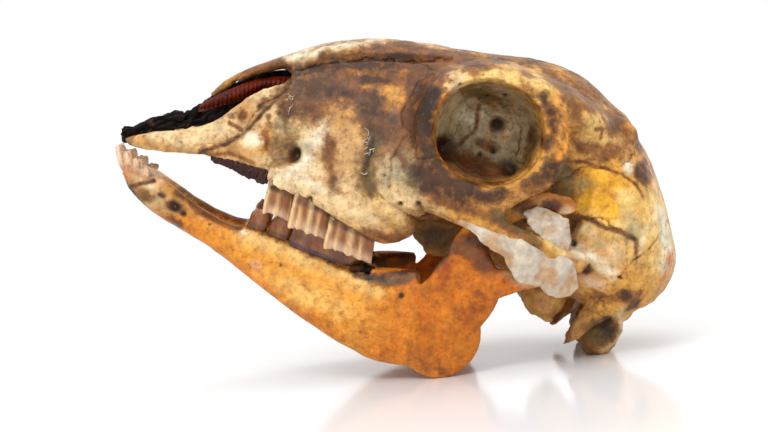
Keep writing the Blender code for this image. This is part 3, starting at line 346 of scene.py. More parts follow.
def to_world(points):
    """World metres of points given as (u, s, v) in millimetres."""
    points = np.asarray(points, float).reshape(-1, 3)
    u, s, v = points.T
    x = u * math.cos(TIP) + v * math.sin(TIP) + ORIGIN[0]
    z = -u * math.sin(TIP) + v * math.cos(TIP) + ORIGIN[1]
    return np.stack([x, -s, z], axis=1) * MM


def to_skull(points):
    """Skull frame (u, s, v) in millimetres of world points in metres."""
    x, y, z = (np.asarray(points, float).reshape(-1, 3) / MM).T
    x, z = x - ORIGIN[0], z - ORIGIN[1]
    return np.stack([x * math.cos(TIP) - z * math.sin(TIP), -y,
                     x * math.sin(TIP) + z * math.cos(TIP)], axis=1)


def along(line, u):
    """Second value of a line of points where its first value is u."""
    return np.interp(u, [p[0] for p in line], [p[1] for p in line])


def select_only(*things):
    bpy.ops.object.select_all(action='DESELECT')
    for thing in things:
        thing.select_set(True)
    bpy.context.view_layer.objects.active = things[0]


def finish_with(thing, kind, **settings):
    """Adds one modifier and applies it."""
    modifier = thing.modifiers.new(kind.title(), kind)
    for key, value in settings.items():
        setattr(modifier, key, value)
    select_only(thing)
    bpy.ops.object.modifier_apply(modifier=modifier.name)


def new_piece(name, verts, faces):
    mesh = bpy.data.meshes.new(name)
    mesh.from_pydata([tuple(p) for p in verts], [], [tuple(f) for f in faces])
    mesh.update()
    thing = bpy.data.objects.new(name, mesh)
    bpy.context.scene.collection.objects.link(thing)
    return thing


def point_outwards(thing):
    clay = bmesh.new()
    clay.from_mesh(thing.data)
    bmesh.ops.recalc_face_normals(clay, faces=clay.faces)
    clay.to_mesh(thing.data)
    clay.free()


def copy_of(name):
    """Merged copy of a CAD node, free to be reshaped."""
    thing = bpy.data.objects.new("copy " + name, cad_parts[name].data.copy())
    bpy.context.scene.collection.objects.link(thing)
    clay = bmesh.new()
    clay.from_mesh(thing.data)
    bmesh.ops.remove_doubles(clay, verts=clay.verts, dist=1e-6)
    clay.to_mesh(thing.data)
    clay.free()
    return thing


def read_mesh(thing, what):
    values = np.empty(len(thing.data.vertices) * 3, np.float32)
    thing.data.vertices.foreach_get(what, values)
    return values.reshape(-1, 3).astype(float)


def vertices_of(thing):
    return read_mesh(thing, "co")


def normals_of(thing):
    thing.data.update()
    return read_mesh(thing, "normal")


def set_vertices(thing, places):
    thing.data.vertices.foreach_set("co", np.asarray(places, np.float32).ravel())
    thing.data.update()


def edges_of(thing):
    ends = np.empty(len(thing.data.edges) * 2, np.int32)
    thing.data.edges.foreach_get("vertices", ends)
    return ends.reshape(-1, 2)


def eased(places, ends, share):
    """Places moved a share of the way to the mean of their neighbours."""
    count = np.maximum(np.bincount(ends.ravel(), minlength=len(places)), 1)[:, None]
    total = np.stack([np.bincount(ends[:, 0], places[ends[:, 1], k], len(places))
                      + np.bincount(ends[:, 1], places[ends[:, 0], k], len(places))
                      for k in range(3)], axis=1)
    return places + (total / count - places) * share


def relax(thing, rounds):
    """Evens out facets without shrinking the form, by turns of easing in and easing back out."""
    places, ends = vertices_of(thing), edges_of(thing)
    for _ in range(rounds):
        places = eased(eased(places, ends, 0.5), ends, -0.52)
    set_vertices(thing, places)


def lattice(points, grain, seed):
    """Smooth random field between -1 and 1 whose lumps are about one grain across, in millimetres."""
    p = points / grain + seed * 17.31
    cell = np.floor(p).astype(np.int64)
    t = p - cell
    t = t * t * (3 - 2 * t)
    total = np.zeros(len(p))
    for corner in range(8):
        step = np.array([corner & 1, corner >> 1 & 1, corner >> 2 & 1])
        at = cell + step
        code = (at[:, 0] * 73856093) ^ (at[:, 1] * 19349663) ^ (at[:, 2] * 83492791) ^ (seed * 9176)
        code = (code ^ (code >> 13)) * 1274126177 & 0xffffffff
        code = (code ^ (code >> 16)) & 0xffff
        total += np.prod(np.where(step, t, 1 - t), axis=1) * (code / 32767.5 - 1)
    return total


def grainy(points, grain, seed, octaves=3):
    """Random field with finer and weaker lumps laid over the first ones."""
    total = np.zeros(len(points))
    for octave in range(octaves):
        total += lattice(points, grain / 2**octave, seed + octave) / 2**octave
    return total


def soft_step(low, high, value):
    t = np.clip((value - low) / (high - low), 0, 1)
    return t * t * (3 - 2 * t)


def orbit_reach(u, v):
    """Distance from the middle of the eye socket, as a share of its half sizes."""
    return np.hypot((u - ORBIT_CENTRE[0]) / ORBIT_HALF[0], (v - ORBIT_CENTRE[1]) / ORBIT_HALF[1])


def line_distance(flat, line):
    """Distance of flat (u, v) places to a line of points."""
    best = np.full(len(flat), 1e9)
    for a, b in zip(line, line[1:]):
        a, b = np.array(a, float), np.array(b, float)
        t = np.clip((flat - a) @ (b - a) / max((b - a) @ (b - a), 1e-9), 0, 1)
        best = np.minimum(best, np.linalg.norm(flat - a - t[:, None] * (b - a), axis=1))
    return best


def linear(code):
    """Linear RGB of an sRGB hex colour."""
    parts = [int(code[k:k + 2], 16) / 255 for k in (1, 3, 5)]
    return np.array([c / 12.92 if c <= 0.04045 else ((c + 0.055) / 1.055) ** 2.4 for c in parts])


# The white surround pales every surface, so colours are laid on deeper than they are seen
RICHNESS = 1.1
SHEEN = 0.3         # the specular level of dry bone and tissue
BONE_IOR = 1.53
COLOURS = {name: linear(code) ** RICHNESS for name, code in PALETTE.items()}


def blend(paint, colour, share):
    """Lays a named colour over the paint, as thickly as its share says."""
    paint += (COLOURS[colour] - paint) * share


def even_stain(colour, thickness, count):
    """Stain of one colour and thickness for a count of vertices."""
    return np.concatenate([np.tile(COLOURS[colour], (count, 1)), np.full((count, 1), thickness)], axis=1)


def lay_stains_and_highlights(paint, stain, places, stains_and_highlights, where):
    """Lays pale patches, painted highlights among them, on the paint and dark ones on the stain, whose fourth
    value is its thickness.
    """
    drift = np.stack([grainy(places, 5.0, 21 + k, 4) for k in range(2)], axis=1)
    patchy = grainy(places, 2.6, 31, 4)
    for colour, form, size, strength in stains_and_highlights:
        if isinstance(form, list):
            flat = places[:, [0, 2]] + drift * min(0.9, 0.5 * size)
            weight = np.exp(-(line_distance(flat, form) / size) ** 2)
        else:
            flat = places[:, [0, 2]] + drift * min(1.6, 0.45 * min(size))
            reach = np.hypot((flat[:, 0] - form[0]) / size[0], (flat[:, 1] - form[1]) / size[1])
            weight = 1 - soft_step(0.3, 1.4, reach + 0.22 * patchy)
        weight = np.clip(weight * strength * (1 + 0.35 * patchy), 0, 1) * where
        if colour in DARK_STAINS:
            weight = np.minimum(weight * 1.3, 1)
            share = weight / np.maximum(weight + stain[:, 3] * (1 - weight), 1e-6)
            stain[:, :3] += (COLOURS[colour] - stain[:, :3]) * share[:, None]
            stain[:, 3] += (1 - stain[:, 3]) * weight
        else:
            # Pale rows, the painted highlights among them, are blended onto the paint
            blend(paint, colour, weight[:, None])
            stain[:, 3] *= 1 - 0.85 * weight


def bore_holes(depth, paint, places, holes, where):
    """Sinks the surface at small round holes and paints the shade inside them black."""
    for centre, radius, deep in holes:
        reach = np.hypot(places[:, 0] - centre[0], places[:, 2] - centre[1]) / radius
        depth -= deep * np.exp(-reach ** 2 * 1.4) * where
        # Painted shade: the inside of each hole is laid on as black paint
        weight = np.exp(-(reach * 0.85) ** 4) * where * 0.95
        blend(paint, "soot", weight[:, None])


def tooth_prism(gum, sign, ends):
    """Block that holds everything on the tooth side of a gum line."""
    us = np.linspace(ends[0], ends[1], 9)
    edge = [(u, along(gum, u) - sign * 0.4) for u in us]
    far = edge[0][1] - sign * 30
    outline = edge + [(us[-1], far), (us[0], far)]
    rings = [to_world([(u, s, v) for u, v in outline]) for s in (-60, 60)]
    count = len(outline)
    faces = [list(range(count))[::-1], list(range(count, 2 * count))]
    faces += [[k, (k + 1) % count, count + (k + 1) % count, count + k] for k in range(count)]
    prism = new_piece("tooth prism", np.concatenate(rings), faces)
    point_outwards(prism)
    return prism


def one_skin(nodes, voxel, rounds, cutters):
    """Even skin over copies of CAD nodes, run together across the clearance between them."""
    copies = []
    for name in nodes:
        thing = copy_of(name)
        for start, cutter in cutters:
            if name.startswith(start):
                finish_with(thing, 'BOOLEAN', operation='DIFFERENCE', solver='MANIFOLD', object=cutter)
        set_vertices(thing, vertices_of(thing) + normals_of(thing) * CLEARANCE * MM)
        copies.append(thing)
    select_only(*copies)
    bpy.ops.object.join()
    skin = copies[0]
    finish_with(skin, 'REMESH', mode='VOXEL', voxel_size=voxel * MM)
    relax(skin, rounds)
    set_vertices(skin, vertices_of(skin) - normals_of(skin) * CLEARANCE * MM)
    for _, cutter in cutters:
        bpy.data.objects.remove(cutter)
    return skin


def quads_of(mesh):
    corners = np.empty(len(mesh.loops), np.int32)
    mesh.loops.foreach_get("vertex_index", corners)
    return corners.reshape(-1, 4)


def bone_labels(centres):
    """Index of the CAD bone that each centre lies nearest, with its edges wandering as sutures do."""
    verts, faces, owners = [], [], []
    for index, bone in enumerate(CRANIAL_BONES):
        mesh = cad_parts[bone].data
        start = len(verts)
        verts += [tuple(v.co) for v in mesh.vertices]
        for polygon in mesh.polygons:
            faces.append([start + k for k in polygon.vertices])
            owners.append(index)
    tree = BVHTree.FromPolygons(verts, faces)
    places = to_skull(centres)
    wander = np.stack([grainy(places, 3.2, 5 + k, 3) * 0.7 for k in range(3)], axis=1)
    shifted = to_world(places + wander)
    return np.array([owners[tree.find_nearest(Vector(p))[2]] for p in shifted])


def suture_distance(places, quads, labels):
    """Distance of each vertex to the nearest line where two bones meet."""
    highest = np.zeros(len(places), int)
    lowest = np.full(len(places), 99)
    for k in range(4):
        np.maximum.at(highest, quads[:, k], labels)
        np.minimum.at(lowest, quads[:, k], labels)
    edge = np.flatnonzero(highest != lowest)
    tree = KDTree(len(edge))
    for k, index in enumerate(edge):
        tree.insert(places[index], k)
    tree.balance()
    return np.array([tree.find(p)[2] for p in places])


def put_colour(thing, name, values):
    layer = thing.data.attributes.new(name, 'FLOAT_COLOR', 'POINT')
    full = np.ones((len(values), 4), np.float32)
    full[:, :values.shape[1]] = np.clip(values, 0, 1)
    layer.data.foreach_set("color", full.ravel())


def node(tree, kind, settings=None, **links):
    """Adds a shader node with its settings, and links or sets its inputs, by name or as n and a number."""
    made = tree.nodes.new(kind)
    for key, value in (settings or {}).items():
        setattr(made, key, value)
    for key, value in links.items():
        numbered = key[0] == "n" and key[1:].isdigit()
        socket = made.inputs[int(key[1:])] if numbered else made.inputs[key.replace("_", " ")]
        if isinstance(value, bpy.types.NodeSocket):
            tree.links.new(value, socket)
        else:
            socket.default_value = value
    return made


def new_material(name):
    material = bpy.data.materials.new(name)
    material.use_nodes = True
    return material, material.node_tree, material.node_tree.nodes["Principled BSDF"]


def bone_material(name, roughness, grit, speck):
    """Dried young bone: porous and chalky under a skin of fat and grime that gives it a satin sheen."""
    material, tree, shader = new_material(name)
    space = node(tree, "ShaderNodeTexCoord").outputs["Object"]
    # The dried surface clouds from pale to deep over about 3.4 mm
    paint = node(tree, "ShaderNodeAttribute", {"attribute_name": "paint"}).outputs["Color"]
    cloud = node(tree, "ShaderNodeTexNoise", Vector=space, Scale=1 / (3.4 * MM), Detail=7.0, Roughness=0.66)
    tone = node(tree, "ShaderNodeMapRange", Value=cloud.outputs["Fac"], n1=0.32, n2=0.68, n3=0.66, n4=1.26)
    toned = node(tree, "ShaderNodeMix", {"data_type": 'RGBA', "blend_type": 'MULTIPLY'}, n0=1.0, n6=paint,
                 n7=tone.outputs["Result"])
    # The stain soaks in along a cloudy grain of about 2 mm, so its edges break up as it thins out
    stain = node(tree, "ShaderNodeAttribute", {"attribute_name": "stain"})
    grain = node(tree, "ShaderNodeTexNoise", Vector=space, Scale=1 / (2.2 * MM), Detail=9.0, Roughness=0.72)
    soaked = node(tree, "ShaderNodeMath", {"operation": 'MULTIPLY_ADD'}, n0=grain.outputs["Fac"], n1=1.9,
                  n2=stain.outputs["Alpha"])
    # Where it is thin it tints the bone like tea
    tea = node(tree, "ShaderNodeMapRange", Value=soaked.outputs["Value"], n1=0.85, n2=1.5, n3=0.0, n4=0.9)
    toned = node(tree, "ShaderNodeMix", {"data_type": 'RGBA', "blend_type": 'MULTIPLY'},
                 n0=tea.outputs["Result"], n6=toned.outputs[2], n7=(0.56, 0.38, 0.22, 1))
    # Where it is thick it hides the bone, and looks deeper or thinner over patches of about 5 mm
    thick = node(tree, "ShaderNodeMapRange", Value=soaked.outputs["Value"], n1=1.15, n2=1.9, n3=0.0, n4=0.95)
    patches = node(tree, "ShaderNodeTexNoise", Vector=space, Scale=1 / (4.8 * MM), Detail=5.0, Roughness=0.6)
    deeper = node(tree, "ShaderNodeMapRange", Value=patches.outputs["Fac"], n1=0.35, n2=0.65, n3=0.4, n4=1.4)
    shaded = node(tree, "ShaderNodeMix", {"data_type": 'RGBA', "blend_type": 'MULTIPLY'}, n0=1.0,
                  n6=stain.outputs["Color"], n7=deeper.outputs["Result"])
    toned = node(tree, "ShaderNodeMix", {"data_type": 'RGBA'}, n0=thick.outputs["Result"],
                 n6=toned.outputs[2], n7=shaded.outputs[2])
    # Grime gathers in specks about a millimetre across
    grime = node(tree, "ShaderNodeTexNoise", Vector=space, Scale=1 / (1.1 * MM), Detail=6.0, Roughness=0.7)
    spotted = node(tree, "ShaderNodeMapRange", Value=grime.outputs["Fac"], n1=0.56, n2=0.72, n3=0.0, n4=speck)
    dirty = node(tree, "ShaderNodeMix", {"data_type": 'RGBA'}, n0=spotted.outputs["Result"],
                 n6=toned.outputs[2], n7=(*COLOURS["umber"], 1))
    tree.links.new(dirty.outputs[2], shader.inputs["Base Color"])
    # Pores of the bone, about half a millimetre apart
    pores = node(tree, "ShaderNodeTexVoronoi", Vector=space, Scale=1 / (0.55 * MM))
    pitted = node(tree, "ShaderNodeMapRange", Value=pores.outputs["Distance"], n1=0.05, n2=0.3, n3=0.0,
                  n4=1.0)
    height = node(tree, "ShaderNodeMath", {"operation": 'MULTIPLY_ADD'}, n0=pitted.outputs["Result"], n1=0.3,
                  n2=grime.outputs["Fac"])
    bump = node(tree, "ShaderNodeBump", Strength=grit, Distance=0.3 * MM, Height=height.outputs["Value"])
    tree.links.new(bump.outputs["Normal"], shader.inputs["Normal"])
    rough = node(tree, "ShaderNodeMapRange", Value=cloud.outputs["Fac"], n1=0.3, n2=0.7, n3=roughness - 0.12,
                 n4=roughness + 0.14)
    tree.links.new(rough.outputs["Result"], shader.inputs["Roughness"])
    shader.inputs["IOR"].default_value = BONE_IOR
    shader.inputs["Specular IOR Level"].default_value = SHEEN
    return material


def finish_piece(piece, material, slot, *nodes):
    """Gives a piece its material and body, and puts it in place of the CAD nodes that it dresses. The slot is
    not used.
    """
    piece.data.materials.clear()
    piece.data.materials.append(material)
    select_only(piece)
    bpy.ops.object.shade_smooth()
    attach(piece, "root")
    if nodes:
        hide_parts(*nodes)


def paint_cranium(places, suture):
    """Colours and fine relief of the cranium: paint, stain and how far each vertex moves outwards."""
    u, s, v = places.T
    inside = (1 - soft_step(0.9, 1.04, orbit_reach(u, v))) * (1 - soft_step(33, 36, np.abs(s)))
    outer = 1 - inside
    mottle = soft_step(-0.7, 0.9, grainy(places, 11.0, 3, 5))[:, None]
    paint = COLOURS["gold"] * (1 - mottle) + COLOURS["tan"] * mottle
    stain = even_stain("umber", 0.42, len(places))
    stain[:, 3] += 0.22 * soft_step(42, 54, v) * soft_step(20, 50, u) * (1 - soft_step(96, 112, u))
    stain[:, 3] += 0.3 * grainy(places, 8.0, 17, 4)
    stain[:, 3] -= 0.38 * soft_step(113, 121, u) * (1 - soft_step(48, 54, v))
    stain[:, 3] = np.clip(stain[:, 3], 0.05, 0.95)
    depth = np.zeros(len(places))
    side = outer * soft_step(6, 11, np.abs(s))
    lay_stains_and_highlights(paint, stain, places, FACE_STAINS, side)
    braincase = outer * soft_step(105, 110, u) * soft_step(-4, 0, v)
    lay_stains_and_highlights(paint, stain, places, BRAINCASE_STAINS_AND_HIGHLIGHTS, braincase)
    lay_stains_and_highlights(paint, stain, places, BROW_STAINS_AND_HIGHLIGHTS, outer * soft_step(-3, 4, v))
    lay_stains_and_highlights(paint, stain, places, BASE_STAINS_AND_HIGHLIGHTS, outer)
    lay_stains_and_highlights(paint, stain, places, SOCKET_STAINS, inside)
    bore_holes(depth, paint, places, FACE_HOLES, side)
    bore_holes(depth, paint, places, SOCKET_HOLES, inside)
    # Sutures: a fine dark groove, stronger in some stretches than in others
    uneven = 0.3 + 0.55 * grainy(places, 7.0, 41, 3)
    close = np.exp(-(suture / 0.36) ** 2) * np.clip(uneven, 0.04, 0.9)
    depth -= 0.2 * close
    stain[:, 3] = np.clip(stain[:, 3] + close * 0.6, 0, 1)
    # Lumps and fine tooling of the surface
    depth += 0.16 * grainy(places, 6.0, 51, 3) + 0.07 * grainy(places, 1.6, 61, 2)
    rough_base = soft_step(118, 124, u) * (1 - soft_step(14, 22, v))
    depth += rough_base * 0.35 * grainy(places, 2.4, 71, 3)
    return paint, stain, depth


def soften_rim(thing):
    """Runs the raised ring round the eye into the bone outside it, leaving only its inner edge sharp."""
    places, ends = vertices_of(thing), edges_of(thing)
    u, s, v = to_skull(places).T
    reach = orbit_reach(u, v)
    weight = soft_step(1.06, 1.2, reach) * (1 - soft_step(1.6, 1.95, reach)) * soft_step(18, 22, np.abs(s))
    weight = (0.5 * weight * soft_step(21, 25, v))[:, None]
    for _ in range(90):
        places = eased(places, ends, weight)
    set_vertices(thing, places)


def build_cranium():
    """Cuts the dressed skin of the cranium into its bones, and returns the tree that finds its surface."""
    skin = one_skin(CRANIAL_BONES, SKIN_VOXEL, 14, [("maxilla", tooth_prism(ALVEOLUS, 1, (38, 82)))])
    soften_rim(skin)
    quads = quads_of(skin.data)
    world, normals = vertices_of(skin), normals_of(skin)
    labels = bone_labels(world[quads].mean(axis=1))
    places = to_skull(world)
    suture = suture_distance(places, quads, labels)
    paint, stain, depth = paint_cranium(places, suture)
    world = world + normals * depth[:, None] * MM
    material = {
        "face_bone": bone_material("dried face bone, cream and brown", 0.42, 0.5, 0.5),
        "brow_bone": bone_material("dried brow bone, brown stained", 0.4, 0.6, 0.6),
        "braincase_bone": bone_material("thin braincase bone, yellow", 0.38, 0.4, 0.3),
        "base_bone": bone_material("rough bone of the skull base", 0.48, 0.9, 0.7)}
    for index, bone in enumerate(CRANIAL_BONES):
        own = quads[labels == index]
        used, local = np.unique(own, return_inverse=True)
        piece = new_piece(bone + "_bone", world[used], local.reshape(-1, 4))
        put_colour(piece, "paint", paint[used])
        put_colour(piece, "stain", stain[used])
        finish_with(piece, 'SOLIDIFY', thickness=SHELL * MM, offset=-1.0, use_rim=True)
        slot = BONE_SLOTS[bone.split("_")[0]]
        finish_piece(piece, material[slot], slot, bone)
    tree = BVHTree.FromPolygons([tuple(p) for p in world], [tuple(q) for q in quads])
    bpy.data.objects.remove(skin)
    return tree


def build_jaws():
    """Dresses both jaw bones, roughest at the angle and where the muscle was tied to the ramus."""
    material = bone_material("jaw bone, amber stained", 0.38, 0.45, 0.35)
    for side in ("left", "right"):
        skin = one_skin(["mandible_" + side], JAW_VOXEL, 12,
                        [("mandible", tooth_prism(LOWER_ALVEOLUS, -1, (38, 80)))])
        skin.name = "mandible_" + side + "_bone"
        skin.data.name = skin.name
        world, normals = vertices_of(skin), normals_of(skin)
        places = to_skull(world)
        mottle = soft_step(-0.8, 0.8, grainy(places, 12.0, 4, 5))[:, None]
        paint = COLOURS["honey"] * (1 - mottle) + COLOURS["amber"] * mottle
        depth = 0.14 * grainy(places, 6.0, 52, 3) + 0.05 * grainy(places, 1.5, 62, 2)
        everywhere = np.ones(len(places))
        stain = even_stain("brown", 0.2, len(places))
        lay_stains_and_highlights(paint, stain, places, JAW_STAINS, everywhere)
        bore_holes(depth, paint, places, JAW_HOLES, (np.abs(places[:, 1]) > 6).astype(float))
        # Roughened bone at the angle and on the ramus
        angle = np.exp(-(np.hypot(places[:, 0] - 106, places[:, 2] + 24) / 6) ** 2)
        ramus = np.exp(-(np.hypot(places[:, 0] - 104, places[:, 2] - 9) / 6) ** 2)
        depth += (0.4 * angle + 0.25 * ramus) * grainy(places, 2.0, 72, 3)
        set_vertices(skin, world + normals * depth[:, None] * MM)
        put_colour(skin, "paint", paint)
        put_colour(skin, "stain", stain)
        finish_piece(skin, material, "jaw_bone", "mandible_" + side)


def painted_material(name, roughness, streak, relief, tones=(0.72, 1.2), **shader_values):
    """Painted surface with fine streaks: enamel, horn-like gristle and dried skin differ by their values."""
    material, tree, shader = new_material(name)
    space = node(tree, "ShaderNodeTexCoord").outputs["Object"]
    paint = node(tree, "ShaderNodeAttribute", {"attribute_name": "paint"}).outputs["Color"]
    # Streaks and wrinkles about 0.9 mm apart, longer where the streak scale is under one
    stretched = node(tree, "ShaderNodeMapping", Vector=space, Scale=streak)
    lines = node(tree, "ShaderNodeTexNoise", Vector=stretched.outputs["Vector"], Scale=1 / (0.9 * MM),
                 Detail=5.0, Roughness=0.6)
    tone = node(tree, "ShaderNodeMapRange", Value=lines.outputs["Fac"], n1=0.3, n2=0.7, n3=tones[0],
                n4=tones[1])
    toned = node(tree, "ShaderNodeMix", {"data_type": 'RGBA', "blend_type": 'MULTIPLY'}, n0=1.0, n6=paint,
                 n7=tone.outputs["Result"])
    tree.links.new(toned.outputs[2], shader.inputs["Base Color"])
    bump = node(tree, "ShaderNodeBump", Strength=relief, Distance=0.2 * MM, Height=lines.outputs["Fac"])
    tree.links.new(bump.outputs["Normal"], shader.inputs["Normal"])
    shader.inputs["Specular IOR Level"].default_value = SHEEN
    shader.inputs["Roughness"].default_value = roughness
    for key, value in shader_values.items():
        shader.inputs[key.replace("_", " ")].default_value = value
    return material


def closed_rings(name, places, around):
    """Closed form over rings of places laid in order, with one place more for each end."""
    last = len(places) - 2 - around
    faces = [(start + k, start + (k + 1) % around, start + around + (k + 1) % around, start + around + k)
             for start in range(0, last, around) for k in range(around)]
    faces += [(last + around, (k + 1) % around, k) for k in range(around)]
    faces += [(last + around + 1, last + k, last + (k + 1) % around) for k in range(around)]
    form = new_piece(name, to_world(places), faces)
    point_outwards(form)
    return form


def join_pieces(name, things):
    select_only(*things)
    if len(things) > 1:
        bpy.ops.object.join()
    things[0].name = name
    things[0].data.name = name
    return things[0]


def cheek_tooth(front, length, lobes, crown, upper, side):
    """One ridged cheek tooth: rings up its wall from root to crown edge, then its worn top with crests."""
    gum, row = (ALVEOLUS, UPPER_ROW) if upper else (LOWER_ALVEOLUS, LOWER_ROW)
    hand = -1 if upper else 1
    middle = front + length / 2
    root_v, out = along(gum, middle), along(row, middle)
    width = 5.4 if upper else 5.0
    around = 72
    rings, paints = [], []
    profile = [(-0.14, 0.5), (-0.06, 0.66)]
    profile += [(t, 0.78 + 0.24 * math.sin(math.pi * min(t * 1.3, 1) * 0.5)) for t in np.linspace(0, 1, 22)]
    top = [(1.0, 0.8, 0.5), (0.93, 0.62, 0.2), (0.86, 0.42, 0.1), (0.84, 0.2, 0.0)]
    angles = 2 * math.pi * np.arange(around) / around
    cos, sin = np.cos(angles), np.sin(angles)
    x = length / 2 * np.sign(cos) * np.abs(cos) ** 0.62
    y = width / 2 * np.sign(sin) * np.abs(sin) ** 0.62
    share = x / length + 0.5
    ribbed = sin > 0 if upper else sin < 0
    crests = [k / lobes for k in range(lobes + 1)]
    style = np.max([np.exp(-((share - at - 0.03) * length / (0.85 if at == 0 else 0.5)) ** 2)
                    for at in crests], axis=0)
    rib = np.max([np.exp(-((share - (k + 0.48) / lobes) * length / 0.62) ** 2) for k in range(lobes)], axis=0)
    cusp = np.abs(np.sin(math.pi * lobes * share))
    bulge = np.where(ribbed, 1.35 * style + 0.75 * rib - 0.75, 0.7 * cusp - 0.45)
    tip = np.where(ribbed, 1.9 * style + 0.9 * rib - 0.6, 0.9 * cusp - 0.4) * (1.0 if upper else 0.4)
    face = np.abs(sin) ** 0.5
    for t, grow in profile:
        wide = y * grow + np.sign(sin) * bulge * face * soft_step(0.04, 0.36, t)
        worn = 0.0 if upper or lobes > 1 else 0.3 * soft_step(0.6, 1.0, t)
        long = x * (0.97 + 0.05 * min(max(t, 0), 1) - worn)
        high = crown * t + tip * soft_step(0.6, 1.0, t) * face
        rings.append((long, wide, high))
        near_gum = 1 - soft_step(0.12, 0.3, t)
        bright = np.where(ribbed, np.maximum(style, 0.6 * rib * t), 0.3 * rib) * face
        paints.append(np.stack([bright, np.full(around, near_gum), np.full(around, t)], axis=1))
    for t, grow, crest in top:
        narrowed = 1.0 if upper or lobes > 1 else 0.7
        rings.append((x * grow * narrowed, y * grow, crown * t + crest * style * upper))
        paints.append(np.stack([0.2 * style, np.zeros(around), np.ones(around)], axis=1))
    places, marks = [], []
    for (long, wide, high), mark in zip(rings, paints):
        u = middle + long + TOOTH_LEAN * high * (1 if upper else -0.2)
        v = root_v + hand * high
        places.append(np.stack([u, side * (out + wide), v], axis=1))
        marks.append(mark)
    places.append(np.array([[middle, side * out, root_v - hand * 0.45 * crown]]))
    places.append(np.array([[middle + TOOTH_LEAN * crown, side * out, root_v + hand * crown * 0.84]]))
    marks.append(np.array([[0, 1, 0], [0, 0, 1]]))
    places, marks = np.concatenate(places), np.concatenate(marks)
    places += 0.1 * np.stack([grainy(places, 2.2, 81 + k, 2) for k in range(3)], axis=1)
    tooth = closed_rings("tooth", places, around)
    patchy = grainy(places, 2.5, 85, 3)[:, None]
    groove = np.exp(-(np.maximum(style, rib) / 0.42) ** 2)
    valley = np.concatenate([np.tile(groove, len(rings)), [0, 0]])[:, None]
    # Upper teeth are tan with bright ridges, the lower ones dark and stained, most of all near the gum
    cloud = soft_step(-0.4, 0.5, grainy(places, 3.2, 91, 3))[:, None]
    body = COLOURS["dentine" if upper else "russet"]
    if lobes == 3:
        body = COLOURS["mauve"] * (1 - cloud) + COLOURS["russet"] * cloud
    paint = body * (1 + 0.25 * patchy)
    blend(paint, "russet", valley * (0.85 if upper else 0.5))
    blend(paint, "pearl", soft_step(0.5, 1.0, marks[:, 2:3]) * (0.55 if upper else 0.12))
    blend(paint, "enamel", np.clip(marks[:, 0:1] * 1.2, 0, 1) * (1.0 if upper else 0.3))
    grimy = marks[:, 1:2] * (0.75 + 0.4 * patchy) * (1 - 0.6 * marks[:, 0:1])
    blend(paint, "slate" if lobes == 3 else "umber", np.clip(grimy, 0, 1))
    put_colour(tooth, "paint", paint)
    return tooth


def milk_incisor(root, tip, width, turned, side, last):
    """Thin curved blade that widens from a narrow neck to its cutting edge, turned to face a way."""
    start, end = np.array(root, float), np.array(tip, float)
    axis = (end - start) / np.linalg.norm(end - start)
    across = np.array(turned, float)
    across = across - axis * (across @ axis)
    across /= np.linalg.norm(across)
    through = np.cross(axis, across)
    around = 28
    angles = 2 * math.pi * np.arange(around) / around
    places, marks, sides = [], [], []
    for t in np.linspace(-0.22, 1.0, 26):
        wide = width / 2 * (0.42 + 0.6 * soft_step(0.1, 0.85, t) - 0.16 * soft_step(0.86, 1.0, t))
        thick = width / 2 * (0.56 - 0.42 * soft_step(0.2, 1.0, t))
        centre = start + (end - start) * t + through * 0.9 * math.sin(math.pi * max(t, 0))
        hollow = 0.25 * soft_step(0.3, 0.9, t)
        ring = [centre + across * math.cos(a) * wide
                + through * (math.sin(a) * thick - hollow * (1 - abs(math.cos(a))) * (math.sin(a) < 0))
                for a in angles]
        places += ring
        marks += [t] * around
        sides += [abs(math.cos(a)) for a in angles]
    places += [start - (end - start) * 0.24, end + axis * 0.1]
    marks += [-0.2, 1.0]
    sides += [0.0, 0.0]
    places, marks = np.array(places), np.array(marks)
    places[:, 1] *= side
    blade = closed_rings("incisor", places, around)
    base, edge = COLOURS["dentine"], COLOURS["pearl"] * (0.7 if last else 1)
    paint = base + (edge - base) * soft_step(0.15, 0.6, marks)[:, None]
    blend(paint, "dentine", (0.6 * soft_step(0.72, 0.98, np.array(sides)))[:, None])
    blend(paint, "umber", (0.8 * (1 - soft_step(0.0, 0.16, marks)))[:, None])
    put_colour(blade, "paint", paint * (1 + 0.15 * grainy(places, 1.6, 88, 3)[:, None]))
    return blade


def build_teeth():
    """Cheek teeth of both rows and the milk incisors, one piece for each row and side."""
    # Enamel is the glossiest part, with fine wear lines along each crown
    enamel = painted_material("milk tooth enamel, tan and glossy", 0.24, (1, 1, 0.35), 0.35, Coat_Weight=0.12)
    for side, hand in (("left", 1), ("right", -1)):
        for row, teeth, upper in (("upper", UPPER_TEETH, True), ("lower", LOWER_TEETH, False)):
            forms = [cheek_tooth(*tooth, upper, hand) for tooth in teeth]
            piece = join_pieces(row + "_cheek_teeth_" + side, forms)
            finish_piece(piece, enamel, "tooth_enamel")
        blades = [milk_incisor(*values, hand, k == 3) for k, values in enumerate(INCISORS)]
        finish_piece(join_pieces("incisors_" + side, blades), enamel, "tooth_enamel")


def at_share(line, share):
    """Point a given share of the way along a line of points."""
    points = np.array(line, float)
    run = np.concatenate([[0], np.cumsum(np.linalg.norm(np.diff(points, axis=0), axis=1))])
    return np.stack([np.interp(share * run[-1], run, points[:, k]) for k in range(points.shape[1])], axis=-1)


